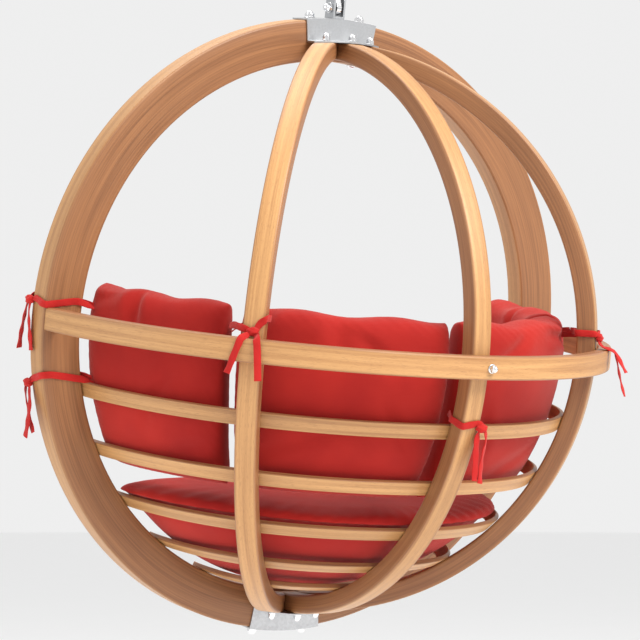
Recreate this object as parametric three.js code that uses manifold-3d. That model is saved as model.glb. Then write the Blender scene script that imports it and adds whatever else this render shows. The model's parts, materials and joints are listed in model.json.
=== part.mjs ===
// Hanging globe chair: a round laminated-wood front ring, three bent back ribs, a mid rail and
// five bent seat slats, steel clamp brackets at top and bottom, a swivel, loose cushions and ties.
// Units are millimetres, +Z is up, the open front faces -Y. The origin is where a hook bears in
// the swivel eye. The chair hangs leaning back by hangTilt, with its weight under the cross bolt.
import * as THREE from 'three';
import { mergeVertices } from 'three/addons/utils/BufferGeometryUtils.js';
import Module from 'manifold-3d';

const wasm = await Module();
wasm.setup();

const rad = THREE.MathUtils.degToRad;
const gap = 0.3; // clearance between pieces that touch

// Driving dimensions, in the chair's own frame: ring centre at the origin, ring's back face at y = 0
const hangTilt = rad(9.6);
const ring = { outer: 590, inner: 511, depth: 47, chamfer: 4 };
const rib = { outer: 552, thick: 36, width: 39, chamfer: 3.5, side: 8.6, back: -14, angle: 46.4 };
const ribAngles = [rib.angle, 90, 180 - rib.angle];
const rail = { outer: 587, thick: 25.8, high: 42, centre: -17.6, middle: -0.9, chamfer: 3 };
const slat = { thick: 9, high: 28, first: -14.5, step: -13.25, count: 5, end: -40 };
const bracket = { half: 80, sheet: 3, low: 549, flange: 56, corner: 22, shoulder: 62, shoulderY: 44 };
const ringBolt = { side: 57, y: -23.5, r: 5, head: 9, headHigh: 6 };
const ribBolt = { side: 51, sideY: 30, middleY: 43, r: 4, head: 8, headHigh: 5, seat: 519 };
const lug = { inside: 9, sheet: 4, deep: 30, top: 48, bolt: 20, bore: 5.3 };
const swivel = { neck: 38, body: 28, shank: 12, eye: 18, wire: 5, radius: 14, wall: 2.6, tongue: 10 };
const crossBolt = { r: 5, head: 8.6, headHigh: 6.1, bush: 7 };
const nut = { washer: 2.1, washerHigh: 1.8, flat: 1.7, flatHigh: 8, domeHigh: 14, hole: 9, past: 8 };
const railBolt = { r: 4, head: 8, headHigh: 4, hole: 4.3, screw: 54, screwHead: 7.5, screwHeadHigh: 3 };
const far = 700; // past the whole chair, for trimming boxes
const cushionRadius = 497;
const ribInner = rib.outer - rib.thick;
const coverTop = ring.outer + gap + bracket.sheet;
const pivotZ = coverTop + gap + lug.bolt;
const pivotY = -ring.depth / 2;
const pivotDrop = swivel.neck + swivel.body + swivel.shank + 2 * swivel.eye - swivel.wire;

const finish = {
  wood: { color: 0xc88f55, roughness: 0.55, metalness: 0 },
  railWood: { color: 0xd09a60, roughness: 0.55, metalness: 0 },
  zinc: { color: 0xb9bcbf, roughness: 0.35, metalness: 0.9 },
  chrome: { color: 0xd8dadd, roughness: 0.15, metalness: 1 },
  bush: { color: 0x1d1d1f, roughness: 0.6, metalness: 0 },
  cloth: { color: 0xbf1f1c, roughness: 0.9, metalness: 0 },
  ribbon: { color: 0xb01a18, roughness: 0.8, metalness: 0 },
};

const hanger = new THREE.Group();
const chair = new THREE.Group();
const chairFrame = new THREE.Group();
chair.rotation.x = -hangTilt;
chair.position.set(0, 0, -pivotDrop);
chairFrame.position.set(0, -pivotY, -pivotZ);
chair.add(chairFrame);
hanger.add(chair);

function place(parent, name, geometry, look) {
  const mesh = new THREE.Mesh(geometry, new THREE.MeshStandardMaterial(look));
  mesh.name = name;
  parent.add(mesh);
  return mesh;
}

// Boolean work: a closed three.js geometry becomes a solid, and a solid a geometry again.
function solid(geometry) {
  const bare = geometry.clone();
  bare.deleteAttribute('normal');
  bare.deleteAttribute('uv');
  const merged = mergeVertices(bare, 1e-4);
  const vertProperties = new Float32Array(merged.attributes.position.array);
  const triVerts = new Uint32Array(merged.index.array);
  return new wasm.Manifold(new wasm.Mesh({ numProp: 3, vertProperties, triVerts }));
}

function surface(body) {
  const mesh = body.getMesh();
  const geometry = new THREE.BufferGeometry();
  geometry.setAttribute('position', new THREE.BufferAttribute(new Float32Array(mesh.vertProperties), 3));
  geometry.setIndex(new THREE.BufferAttribute(new Uint32Array(mesh.triVerts), 1));
  return geometry;
}

function cut(geometry, ...tools) {
  return surface(tools.reduce((body, tool) => body.subtract(solid(tool)), solid(geometry)));
}

// Basic forms
function box(x0, x1, y0, y1, z0, z1) {
  const form = new THREE.BoxGeometry(x1 - x0, y1 - y0, z1 - z0);
  return form.translate((x0 + x1) / 2, (y0 + y1) / 2, (z0 + z1) / 2);
}

function rod(radius, low, high, sides = 10) {
  const form = new THREE.CylinderGeometry(radius, radius, high - low, sides);
  return form.rotateX(Math.PI / 2).translate(0, 0, (low + high) / 2);
}

// A flat arc band from angle a to b, extruded by width with chamfered edges.
function arcBand(outer, inner, a, b, width, chamfer, segments, centre = 0) {
  const size = chamfer ? { bevelSize: chamfer, bevelOffset: -chamfer, bevelThickness: chamfer } : {};
  const cap = (radius) => Math.asin(Math.min(Math.abs(centre) / radius, 1));
  const shape = new THREE.Shape();
  shape.absarc(0, centre, outer, a + cap(outer), b - cap(outer), false);
  shape.absarc(0, centre, inner, b - cap(inner), a + cap(inner), true);
  shape.closePath();
  return new THREE.ExtrudeGeometry(shape, {
    depth: width - 2 * chamfer, bevelEnabled: chamfer > 0, bevelSegments: 1, curveSegments: segments, ...size,
  }).translate(0, 0, chamfer);
}

// Stands an XY outline up in the XZ plane, its thickness running from y back towards the front.
function stand(geometry, y) {
  return geometry.rotateX(Math.PI / 2).translate(0, y, 0);
}

// A turned piece: [radius, height] pairs from the axis round to the axis.
function turned(profile, sides) {
  return new THREE.LatheGeometry(profile.map(([r, z]) => new THREE.Vector2(r, z)), sides)
    .rotateX(Math.PI / 2);
}

function boltForm(r, length, head, headHigh) {
  return turned([[0, 0], [head * 0.7, 0], [head, headHigh * 0.45], [head, headHigh], [r, headHigh],
    [r, headHigh + length], [0, headHigh + length]], 8);
}

// Domed nut with its washer, sitting on z = 0, with a blind hole for the bolt end.
function domeNut(r) {
  const bore = r + gap;
  const washer = r * nut.washer;
  const flat = r * nut.flat;
  const rise = nut.domeHigh - nut.flatHigh;
  return turned([[0, nut.hole], [bore, nut.hole], [bore, 0], [washer, 0], [washer, nut.washerHigh],
    [flat, nut.washerHigh], [flat, nut.flatHigh], [r * 1.45, nut.flatHigh + rise * 0.42],
    [r * 0.9, nut.flatHigh + rise * 0.83], [0, nut.domeHigh]], 8);
}

// Front ring
function ringHole(sign, x) {
  const angle = Math.asin(x / ring.outer);
  return rod(ringBolt.r + gap, ring.inner - 20, ring.outer + 20)
    .translate(0, ringBolt.y, 0)
    .rotateY(sign > 0 ? angle : Math.PI - angle);
}

function frontRing() {
  const outline = new THREE.Shape();
  outline.absarc(0, 0, ring.outer, 0, 2 * Math.PI, false);
  const hole = new THREE.Path();
  hole.absarc(0, 0, ring.inner, 0, 2 * Math.PI, true);
  outline.holes.push(hole);
  const c = ring.chamfer;
  const form = new THREE.ExtrudeGeometry(outline, {
    depth: ring.depth - 2 * c, bevelThickness: c, bevelSize: c, bevelOffset: -c, bevelSegments: 1,
    curveSegments: 44,
  }).translate(0, 0, c);
  const tools = [];
  for (const sign of [1, -1]) {
    for (const x of [ringBolt.side, -ringBolt.side]) tools.push(ringHole(sign, x));
  }
  return cut(stand(form, 0), ...tools);
}
place(chairFrame, 'front_ring', frontRing(), finish.wood);

// Back ribs: half circles whose ends tuck under the bracket flanges, beside the middle rib
const ribSpot = ribAngles.map((angle, i) => {
  const side = rib.side * (1 - i);
  const a = rad(angle);
  return { side, a, bolt: { x: ribBolt.side * (1 - i), y: i === 1 ? ribBolt.middleY : ribBolt.sideY } };
});

function ribFrame({ side, a }) {
  const out = new THREE.Vector3(Math.cos(a), Math.sin(a), 0);
  const up = new THREE.Vector3(0, 0, 1);
  const across = new THREE.Vector3().crossVectors(out, up);
  return new THREE.Matrix4().makeBasis(out, up, across).setPosition(side, rib.back, 0);
}

// The space above the flange line at the top, or below it at the bottom
function flangeSpace(sign) {
  const reach = rad(12);
  const form = arcBand(ring.outer + 30, bracket.low - gap, Math.PI / 2 - reach, Math.PI / 2 + reach,
    bracket.flange + 60, 0, 5);
  return stand(form, bracket.flange + 20).rotateY(sign > 0 ? 0 : Math.PI);
}

function railHole(spot) {
  const out = rod(railBolt.hole, ribInner - 30, rail.outer + 40).rotateY(Math.PI / 2).rotateZ(spot.a);
  return out.translate(spot.side, rib.back, rail.middle);
}

function backRib(spot, i) {
  const form = arcBand(rib.outer, ribInner, -Math.PI / 2, Math.PI / 2, rib.width, rib.chamfer, 24)
    .translate(0, 0, -rib.width / 2)
    .applyMatrix4(ribFrame(spot));
  const tools = [box(-far, far, -far, gap + 0.1, -far, far), flangeSpace(1), flangeSpace(-1)];
  const beside = rib.width / 2 + 2 * gap;
  if (i !== 1) tools.push(box(-beside, beside, -far, 200, -far, far));
  for (const sign of [1, -1]) {
    const { x, y } = spot.bolt;
    const half = sign > 0 ? 0 : Math.PI;
    tools.push(rod(ribBolt.r + gap, 480, 600).rotateX(half).translate(x, y, 0));
    tools.push(rod(ribBolt.head + 1, 480, ribBolt.seat).rotateX(half).translate(x, y, 0));
  }
  tools.push(railHole(spot));
  return cut(form, ...tools);
}
const ribNames = ['back_rib_left', 'back_rib_middle', 'back_rib_right'];
ribSpot.forEach((spot, i) => place(chairFrame, ribNames[i], backRib(spot, i), finish.wood));

// Mid rail: a half hoop outside the ribs, its ends on the ring's back face
function midRail() {
  const inner = rail.outer - rail.thick;
  const form = arcBand(rail.outer, inner, 0, Math.PI, rail.high, rail.chamfer, 40, rail.centre)
    .translate(0, 0, rail.middle - rail.high / 2);
  const trim = box(-far, far, -far, gap + 0.1, -rail.high, rail.high);
  return cut(form, trim, ...ribSpot.map((spot) => railHole(spot)));
}
place(chairFrame, 'mid_rail', midRail(), finish.railWood);

// Seat slats: laths bent round the inside of the ring and the ribs, each face lying on the globe
class SlatLine extends THREE.Curve {
  constructor(height) {
    super();
    const half = slat.thick / 2;
    const atRing = Math.sqrt((ring.inner - 1 - half) ** 2 - height ** 2);
    const atRib = Math.sqrt((ribInner - 1 - half) ** 2 - height ** 2);
    const left = ribSpot[0];
    const sideReach = Math.hypot(left.side + atRib * Math.cos(left.a), atRib * Math.sin(left.a));
    const sideAngle = Math.atan2(atRib * Math.sin(left.a), left.side + atRib * Math.cos(left.a));
    const rise = (angle) => Math.sin(angle) ** 2 * (atRib - atRing);
    this.height = height;
    this.start = atRing;
    this.grow = atRib - atRing;
    this.bulge = (sideReach - atRing - rise(sideAngle)) / Math.sin(2 * sideAngle) ** 2;
    this.first = Math.asin((slat.end - rib.back) / atRing);
  }

  getPoint(t, target = new THREE.Vector3()) {
    const angle = this.first + t * (Math.PI - 2 * this.first);
    const free = Math.max(Math.sin(angle), 0);
    const reach = this.start + this.grow * free ** 2 + this.bulge * (Math.sin(2 * angle) * (free > 0)) ** 2;
    return target.set(reach * Math.cos(angle), rib.back + reach * Math.sin(angle), this.height);
  }
}

function slatForm(elevation) {
  const line = new SlatLine((ribInner - 6) * Math.sin(elevation));
  const across = new THREE.Vector2(-Math.cos(elevation), Math.sin(elevation));
  const through = new THREE.Vector2(-Math.sin(elevation), -Math.cos(elevation));
  const w = slat.high / 2;
  const t = slat.thick / 2;
  const corners = [[w, t], [-w, t], [-w, -t], [w, -t]];
  const corner = ([a, b]) => across.clone().multiplyScalar(a).addScaledVector(through, b);
  const section = new THREE.Shape(corners.map(corner));
  return new THREE.ExtrudeGeometry(section, { extrudePath: line, steps: 32, bevelEnabled: false });
}
for (let i = 0; i < slat.count; i += 1) {
  place(chairFrame, `seat_slat_${i + 1}`, slatForm(rad(slat.first + slat.step * i)), finish.wood);
}

// Steel brackets: a cover over the ring's rim, a plate on its back face and a flange over the ribs
function bracketForm() {
  const reach = Math.asin(bracket.half / ring.outer);
  const low = Math.PI / 2 - reach;
  const high = Math.PI / 2 + reach;
  const back = gap + bracket.sheet;
  const cover = stand(arcBand(coverTop, ring.outer + gap, low, high, ring.depth + back, 0, 5), back);
  const plate = stand(arcBand(coverTop, bracket.low, low, high, bracket.sheet, 0, 5), back);
  const tongue = stand(arcBand(bracket.low + bracket.sheet, bracket.low, low, high, bracket.flange, 0, 5),
    gap + bracket.flange);
  const side = [[bracket.half + 9, -60], [bracket.half + 9, 10], [bracket.half - 2, bracket.corner],
    [bracket.shoulder, bracket.shoulderY], [25, bracket.flange]];
  const otherSide = side.map(([x, y]) => [-x, y]).reverse();
  const outline = new THREE.Shape([...side, ...otherSide].map(([x, y]) => new THREE.Vector2(x, y)));
  const trim = new THREE.ExtrudeGeometry(outline, { depth: 100, bevelEnabled: false }).translate(0, 0, 520);
  let body = solid(cover).add(solid(plate)).add(solid(tongue)).intersect(solid(trim));
  const tools = [ringHole(1, ringBolt.side), ringHole(1, -ringBolt.side)];
  for (const { bolt } of ribSpot) tools.push(rod(ribBolt.r + gap, 500, 560).translate(bolt.x, bolt.y, 0));
  for (const tool of tools) body = body.subtract(solid(tool));
  return surface(body);
}
place(chairFrame, 'top_bracket', bracketForm(), finish.zinc);
place(chairFrame, 'bottom_bracket', bracketForm().rotateY(Math.PI), finish.zinc);

// Lug: two upright ears on a foot plate, welded to the top bracket's cover
function lugForm() {
  const ear = new THREE.Shape();
  const half = lug.deep / 2;
  ear.moveTo(-half, 0);
  ear.lineTo(half, 0);
  ear.lineTo(half, lug.top - 8);
  ear.absarc(half - 8, lug.top - 8, 8, 0, Math.PI / 2, false);
  ear.absarc(8 - half, lug.top - 8, 8, Math.PI / 2, Math.PI, false);
  ear.closePath();
  const hole = new THREE.Path();
  hole.absarc(0, lug.bolt, lug.bore, 0, 2 * Math.PI, true);
  ear.holes.push(hole);
  const turn = new THREE.Matrix4().makeBasis(
    new THREE.Vector3(0, 1, 0), new THREE.Vector3(0, 0, 1), new THREE.Vector3(1, 0, 0));
  let body = solid(box(-lug.inside - lug.sheet, lug.inside + lug.sheet, -half, half, 0, lug.sheet));
  for (const x of [-lug.inside - lug.sheet, lug.inside]) {
    const form = new THREE.ExtrudeGeometry(ear, { depth: lug.sheet, bevelEnabled: false, curveSegments: 5 });
    body = body.add(solid(form.applyMatrix4(turn).translate(x, 0, 0)));
  }
  return surface(body).translate(0, pivotY, coverTop + gap);
}
place(chairFrame, 'hanging_lug', lugForm(), finish.zinc);

// Ring bolts: head inside the ring, domed nut on the bracket's cover
for (const [where, half] of [['top', 0], ['bottom', Math.PI]]) {
  for (const [side, x] of [['left', ringBolt.side], ['right', -ringBolt.side]]) {
    const turn = Math.asin(x / ring.outer);
    const low = ring.inner - gap - ringBolt.headHigh - 1;
    const shank = coverTop + nut.past - (low + ringBolt.headHigh);
    const bolt = boltForm(ringBolt.r, shank, ringBolt.head, ringBolt.headHigh).translate(0, ringBolt.y, low);
    const cap = domeNut(ringBolt.r).translate(0, ringBolt.y, coverTop + gap);
    place(chairFrame, `ring_bolt_${where}_${side}`, bolt.rotateY(turn).rotateY(half), finish.chrome);
    place(chairFrame, `ring_nut_${where}_${side}`, cap.rotateY(turn).rotateY(half), finish.chrome);
  }
}

// Rib bolts: up through each rib end and the flange, domed nut on the flange
for (const [where, half] of [['top', 0], ['bottom', Math.PI]]) {
  ribSpot.forEach(({ bolt: at }, i) => {
    const low = ribBolt.seat - gap - ribBolt.headHigh;
    const flangeTop = Math.sqrt((bracket.low + bracket.sheet) ** 2 - at.x ** 2) + 0.5;
    const length = flangeTop + nut.past - (low + ribBolt.headHigh);
    const bolt = boltForm(ribBolt.r, length, ribBolt.head, ribBolt.headHigh).translate(0, 0, low);
    const cap = domeNut(ribBolt.r).translate(0, 0, flangeTop + 2 * gap);
    const side = ['left', 'middle', 'right'][i];
    const put = (form) => form.rotateX(half).translate(at.x, at.y, 0);
    place(chairFrame, `rib_bolt_${where}_${side}`, put(bolt), finish.chrome);
    place(chairFrame, `rib_nut_${where}_${side}`, put(cap), finish.chrome);
  });
}

// Rail fastenings: a bolt and domed nut at the middle rib, a screw from inside at each side rib
function outward(form, spot) {
  return form.rotateY(Math.PI / 2).rotateZ(spot.a).translate(spot.side, rib.back, rail.middle);
}
const middleRib = ribSpot[1];
const railOutside = rail.outer + rail.centre - rib.back;
const railHead = railBolt.headHigh + 2 * gap;
const railBoltForm = boltForm(railBolt.r, railOutside + nut.past - ribInner, railBolt.head, railBolt.headHigh)
  .translate(0, 0, ribInner - railHead);
const railNutForm = domeNut(railBolt.r).translate(0, 0, railOutside + gap);
place(chairFrame, 'rail_bolt', outward(railBoltForm, middleRib), finish.chrome);
place(chairFrame, 'rail_nut', outward(railNutForm, middleRib), finish.chrome);
for (const i of [0, 2]) {
  const screw = boltForm(railBolt.r, railBolt.screw, railBolt.screwHead, railBolt.screwHeadHigh)
    .translate(0, 0, ribInner - railBolt.screwHeadHigh - 2 * gap);
  place(chairFrame, `rail_screw_${['left', '', 'right'][i]}`, outward(screw, ribSpot[i]), finish.zinc);
}

// Swivel above the chair: cross bolt, spacer bush, swivel body with its eye end, and hanging eye
const upright = new THREE.Group();
upright.position.z = -pivotDrop;
hanger.add(upright);

const lidHigh = 6; // the swivel body's lid, which the eye's foot turns under
function swivelBody() {
  const r = swivel.radius;
  const low = swivel.neck;
  const high = swivel.neck + swivel.body;
  const bore = swivel.wire + 1 + gap;
  const inside = r - swivel.wall;
  const cup = turned([[0, low], [r - 2, low], [r + 1.5, low + 3], [r + 1.5, high - 3], [r - 2, high],
    [bore, high], [bore, high - lidHigh], [inside, high - lidHigh], [inside, low + 8], [0, low + 8]], 16);
  const waist = 9;
  const tongue = new THREE.Shape();
  tongue.absarc(0, 0, r, Math.PI, 2 * Math.PI, false);
  tongue.lineTo(waist, 22);
  tongue.lineTo(waist, low + 2);
  tongue.lineTo(-waist, low + 2);
  tongue.lineTo(-waist, 22);
  tongue.closePath();
  const hole = new THREE.Path();
  hole.absarc(0, 0, crossBolt.bush + gap, 0, 2 * Math.PI, true);
  tongue.holes.push(hole);
  const turn = new THREE.Matrix4().makeBasis(
    new THREE.Vector3(0, 1, 0), new THREE.Vector3(0, 0, 1), new THREE.Vector3(1, 0, 0));
  const plate = new THREE.ExtrudeGeometry(tongue, { depth: swivel.tongue, bevelEnabled: false, curveSegments: 7 })
    .applyMatrix4(turn).translate(-swivel.tongue / 2, 0, 0);
  return surface(solid(cup).add(solid(plate)));
}
place(upright, 'swivel_body', swivelBody(), finish.chrome);

function swivelEye() {
  const high = swivel.neck + swivel.body;
  const centre = high + swivel.shank + swivel.eye;
  const foot = high - lidHigh - 0.4;
  const neck = swivel.wire + 1;
  const shank = turned([[0, high - 18], [11, high - 18], [11, foot], [neck, foot],
    [neck, high + swivel.shank], [0, high + swivel.shank]], 12);
  const loop = new THREE.TorusGeometry(swivel.eye, swivel.wire, 8, 24).rotateX(Math.PI / 2);
  return surface(solid(shank).add(solid(loop.translate(0, 0, centre))));
}
place(upright, 'swivel_eye', swivelEye(), finish.chrome);

const bushForm = turned([[lug.bore, -lug.inside + gap], [crossBolt.bush, -lug.inside + gap],
  [crossBolt.bush, lug.inside - gap],
  [lug.bore, lug.inside - gap], [lug.bore, -lug.inside + gap]], 16);
place(upright, 'spacer_bush', bushForm.rotateY(Math.PI / 2), finish.bush);
const boltReach = lug.inside + lug.sheet;
const headFace = boltReach + gap;
const headEnd = headFace + crossBolt.headHigh;
const crossBoltForm = turned([[0, -headEnd], [crossBolt.head - 0.6, -headEnd], [crossBolt.head, 0.8 - headEnd],
  [crossBolt.head, -headFace], [crossBolt.r, -headFace], [crossBolt.r, boltReach + nut.past],
  [0, boltReach + nut.past]], 8);
place(upright, 'cross_bolt', crossBoltForm.rotateY(Math.PI / 2), finish.chrome);
const crossNutForm = domeNut(crossBolt.r).translate(0, 0, headFace).rotateY(Math.PI / 2);
place(upright, 'cross_nut', crossNutForm, finish.chrome);

// Soft parts. A pad is two facing grids, outer and inner, joined round their border.
function pad(across, along, outerAt, innerAt) {
  const points = [];
  const faces = [];
  const count = (across + 1) * (along + 1);
  for (const at of [outerAt, innerAt]) {
    for (let j = 0; j <= along; j += 1) {
      for (let i = 0; i <= across; i += 1) points.push(...at(i / across, j / along).toArray());
    }
  }
  const id = (i, j, layer) => layer * count + j * (across + 1) + i;
  const quad = (a, b, c, d) => faces.push(a, b, c, a, c, d);
  for (let j = 0; j < along; j += 1) {
    for (let i = 0; i < across; i += 1) {
      quad(id(i, j, 0), id(i + 1, j, 0), id(i + 1, j + 1, 0), id(i, j + 1, 0));
      quad(id(i, j, 1), id(i, j + 1, 1), id(i + 1, j + 1, 1), id(i + 1, j, 1));
    }
  }
  for (let i = 0; i < across; i += 1) {
    quad(id(i, 0, 1), id(i + 1, 0, 1), id(i + 1, 0, 0), id(i, 0, 0));
    quad(id(i, along, 0), id(i + 1, along, 0), id(i + 1, along, 1), id(i, along, 1));
  }
  for (let j = 0; j < along; j += 1) {
    quad(id(0, j, 0), id(0, j + 1, 0), id(0, j + 1, 1), id(0, j, 1));
    quad(id(across, j, 1), id(across, j + 1, 1), id(across, j + 1, 0), id(across, j, 0));
  }
  const geometry = new THREE.BufferGeometry();
  geometry.setAttribute('position', new THREE.BufferAttribute(new Float32Array(points), 3));
  geometry.setIndex(faces);
  return geometry;
}

const pillow = { low: -282, high: 84, thick: 90, rim: 30 };
const pillowSpans = [[-2, 39], [39.6, 89.7], [90.3, 140.4], [141, 182]];
function pillowForm([from, to]) {
  const at = (inside) => (u, v) => {
    const angle = rad(from + (to - from) * u);
    const z = pillow.low + (pillow.high - pillow.low) * v;
    const full = (1 - (2 * u - 1) ** 4) * (1 - (2 * v - 1) ** 4);
    const thick = pillow.rim + (pillow.thick - pillow.rim) * full;
    const outer = Math.sqrt(cushionRadius ** 2 - z ** 2) - 22 * (1 - full);
    const reach = inside ? outer - thick : outer;
    return new THREE.Vector3(reach * Math.cos(angle), rib.back + reach * Math.sin(angle), z);
  };
  return pad(8, 7, at(false), at(true));
}
pillowSpans.forEach((span, i) => place(chairFrame, `back_cushion_${i + 1}`, pillowForm(span), finish.cloth));

const seat = { front: -46, reach: 405, top: -297, crown: 13 };
function seatForm() {
  const at = (upper) => (u, v) => {
    const x = seat.reach * 0.96 * (2 * u - 1);
    const back = rib.back + Math.sqrt(seat.reach ** 2 - x ** 2);
    const y = seat.front + (back - seat.front) * v;
    const out = Math.hypot(x, y - rib.back) / seat.reach;
    const bowl = -Math.sqrt(cushionRadius ** 2 - x ** 2 - Math.max(y - rib.back, 0) ** 2);
    const z = upper ? seat.top + seat.crown * (1 - out ** 2) : Math.min(bowl, seat.top - 12);
    return new THREE.Vector3(x, y, z);
  };
  return pad(14, 9, at(true), at(false));
}
place(chairFrame, 'seat_cushion', seatForm(), finish.cloth);

// Ribbon ties: each holds a cushion to a bent member with two arms knotted together. A route's
// points are [out, along, up] at the member: out from its centre of curvature, along the way that
// angles grow, and up its length. turn and rise are where on the member it sits, in degrees.
const ribbon = { radius: 1.6, sides: 8, steps: 30 };
const ties = [
  {
    name: 'tie_ring_upper', at: [0, 0], turn: 0, rise: 3.4,
    arms: [
      [[493, 8, -1], [500, -2, 0], [507, -13, 1], [508.2, -28, 2], [507.4, -45, 3], [511.2, -51.6, 4],
        [525, -50, 5], [550, -50, 6], [575, -50, 5], [588, -51, 3], [594, -52, -4], [597, -54, -18],
        [597, -58, -42], [596, -63, -70], [593, -68, -98]],
      [[493, 13, -6], [501, 8, -3], [510, 4, 0], [525, 3, 2], [550, 3, -2], [575, 3, -7], [589.4, 4.1, -9],
        [594.6, -3.3, -8], [593.4, -20, -4], [593.4, -35, -2], [595.5, -43, -7], [597, -44, -18],
        [596, -42, -40], [592, -38, -68], [587, -34, -98]],
    ],
  },
  {
    name: 'tie_ring_lower', at: [0, 0], turn: 0, rise: -11,
    arms: [
      [[494, 9, -10], [501, -2, -8], [507, -13, -6], [508.2, -28, -4], [507.8, -44.9, -2],
        [511.6, -51.5, 0], [525, -50, 0], [550, -50, -1], [575, -50, -3], [588, -51, -5], [595, -53, -9],
        [599, -55, -20], [601, -53, -38], [603, -46, -58], [605, -36, -80], [606, -28, -100]],
      [[494, 14, -19], [502, 9, -15], [511, 4, -12], [525, 3, -8], [550, 3, 0], [575, 3, 7],
        [588.9, 4.9, 9], [594.1, -3.5, 8], [593.4, -20, 3], [593.4, -35, -2], [595.5, -42, -9],
        [598, -43, -20], [604, -35, -44], [611, -30, -66], [614, -34, -88], [616, -41, -108]],
    ],
  },
  {
    name: 'tie_rib_left', at: [rib.side, rib.back], turn: rib.angle, rise: 3.3,
    arms: [
      [[478, -56, 3], [500, -48, 5], [525, -38, 6], [547.2, -27, 5], [558.2, -14, 3], [559, -2, 0],
        [566, -5, -5], [574.1, -9, -8.8], [581.6, -14, -12.8], [583, -18, -24], [583.5, -24, -44],
        [585, -30, -66], [586, -33, -76]],
      [[478, -50, -6], [498, -38, 0], [509, -22, 8], [512.4, -6, 15], [511.8, 10.2, 20], [512.7, 21.9, 23],
        [523.1, 24.4, 24], [546.1, 23.5, 24], [554.6, 21.8, 22], [555.6, 13, 15], [557, 8, 7],
        [562, 7, -3], [568, 9, -8], [575.4, 11, -8.8], [582.4, 13, -12.8], [583, 16, -28], [585, 20, -56],
        [588, 24, -84]],
    ],
  },
  {
    name: 'tie_rib_middle', at: [0, rib.back], turn: 90, rise: -11.9,
    arms: [
      [[483, -2, 4], [497, -10, 5], [509, -18, 5], [517, -22.6, 5], [535, -22.8, 4.5], [549.6, -22.8, 4],
        [555.2, -20.2, 4], [555.2, -8, 6], [555.2, 6, 8.5], [556.2, 15, 10], [559, 21, 8], [562, 27, -2],
        [565, 31, -18], [568, 29, -38], [577, 24, -66], [588, 21, -92]],
      [[483, 4, -4], [498, 12, -3], [510, 19, -2], [519, 22.7, -1], [535, 22.9, 2], [549.2, 23.2, 3],
        [556.7, 18.4, -1], [561, 13, -14], [567, 12, -36], [577, 11, -64], [586, 9, -88]],
    ],
  },
  {
    name: 'tie_rib_right', at: [-rib.side, rib.back], turn: 180 - rib.angle, rise: 5,
    arms: [
      [[478, 54, 2], [498, 38, 2], [509, 22, 2], [512.4, 6, 2], [511.8, -10.1, 2], [513.8, -21.9, 2],
        [523.4, -24.6, 2], [545.1, -23, 1], [554.1, -21.2, 0], [557.5, -15, -4], [562, -17, -18],
        [568, -19, -23], [578, -22, -26], [588, -25, -30], [597, -27, -40], [604, -28, -54], [613, -30, -70]],
      [[478, 50, -7], [500, 38, -4], [520, 27, -3], [540, 23.7, -2], [553, 22.2, -1], [556.8, 12, -1],
        [556, 0, -2], [559, -6, -8], [562, -7, -20], [568, -8, -24.5], [578, -10, -27], [586, -12, -31],
        [592, -14, -42], [597, -16, -66], [603, -18, -92], [610, -20, -116]],
    ],
  },
];

function armForm(route) {
  const line = new THREE.CatmullRomCurve3(route.map((point) => new THREE.Vector3(...point)));
  const section = new THREE.Shape();
  section.absarc(0, 0, ribbon.radius, 0, 2 * Math.PI, false);
  return new THREE.ExtrudeGeometry(section, {
    extrudePath: line, steps: ribbon.steps, curveSegments: ribbon.sides / 2, bevelEnabled: false,
  });
}
for (const { name, at, turn, rise, arms } of ties) {
  const spot = new THREE.Group();
  spot.position.set(at[0], at[1], 0);
  spot.rotation.set(0, -rad(rise), rad(turn), 'ZYX');
  chairFrame.add(spot);
  arms.forEach((route, i) => place(spot, `${name}_${i + 1}`, armForm(route), finish.ribbon));
}

export default hanger;
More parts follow.
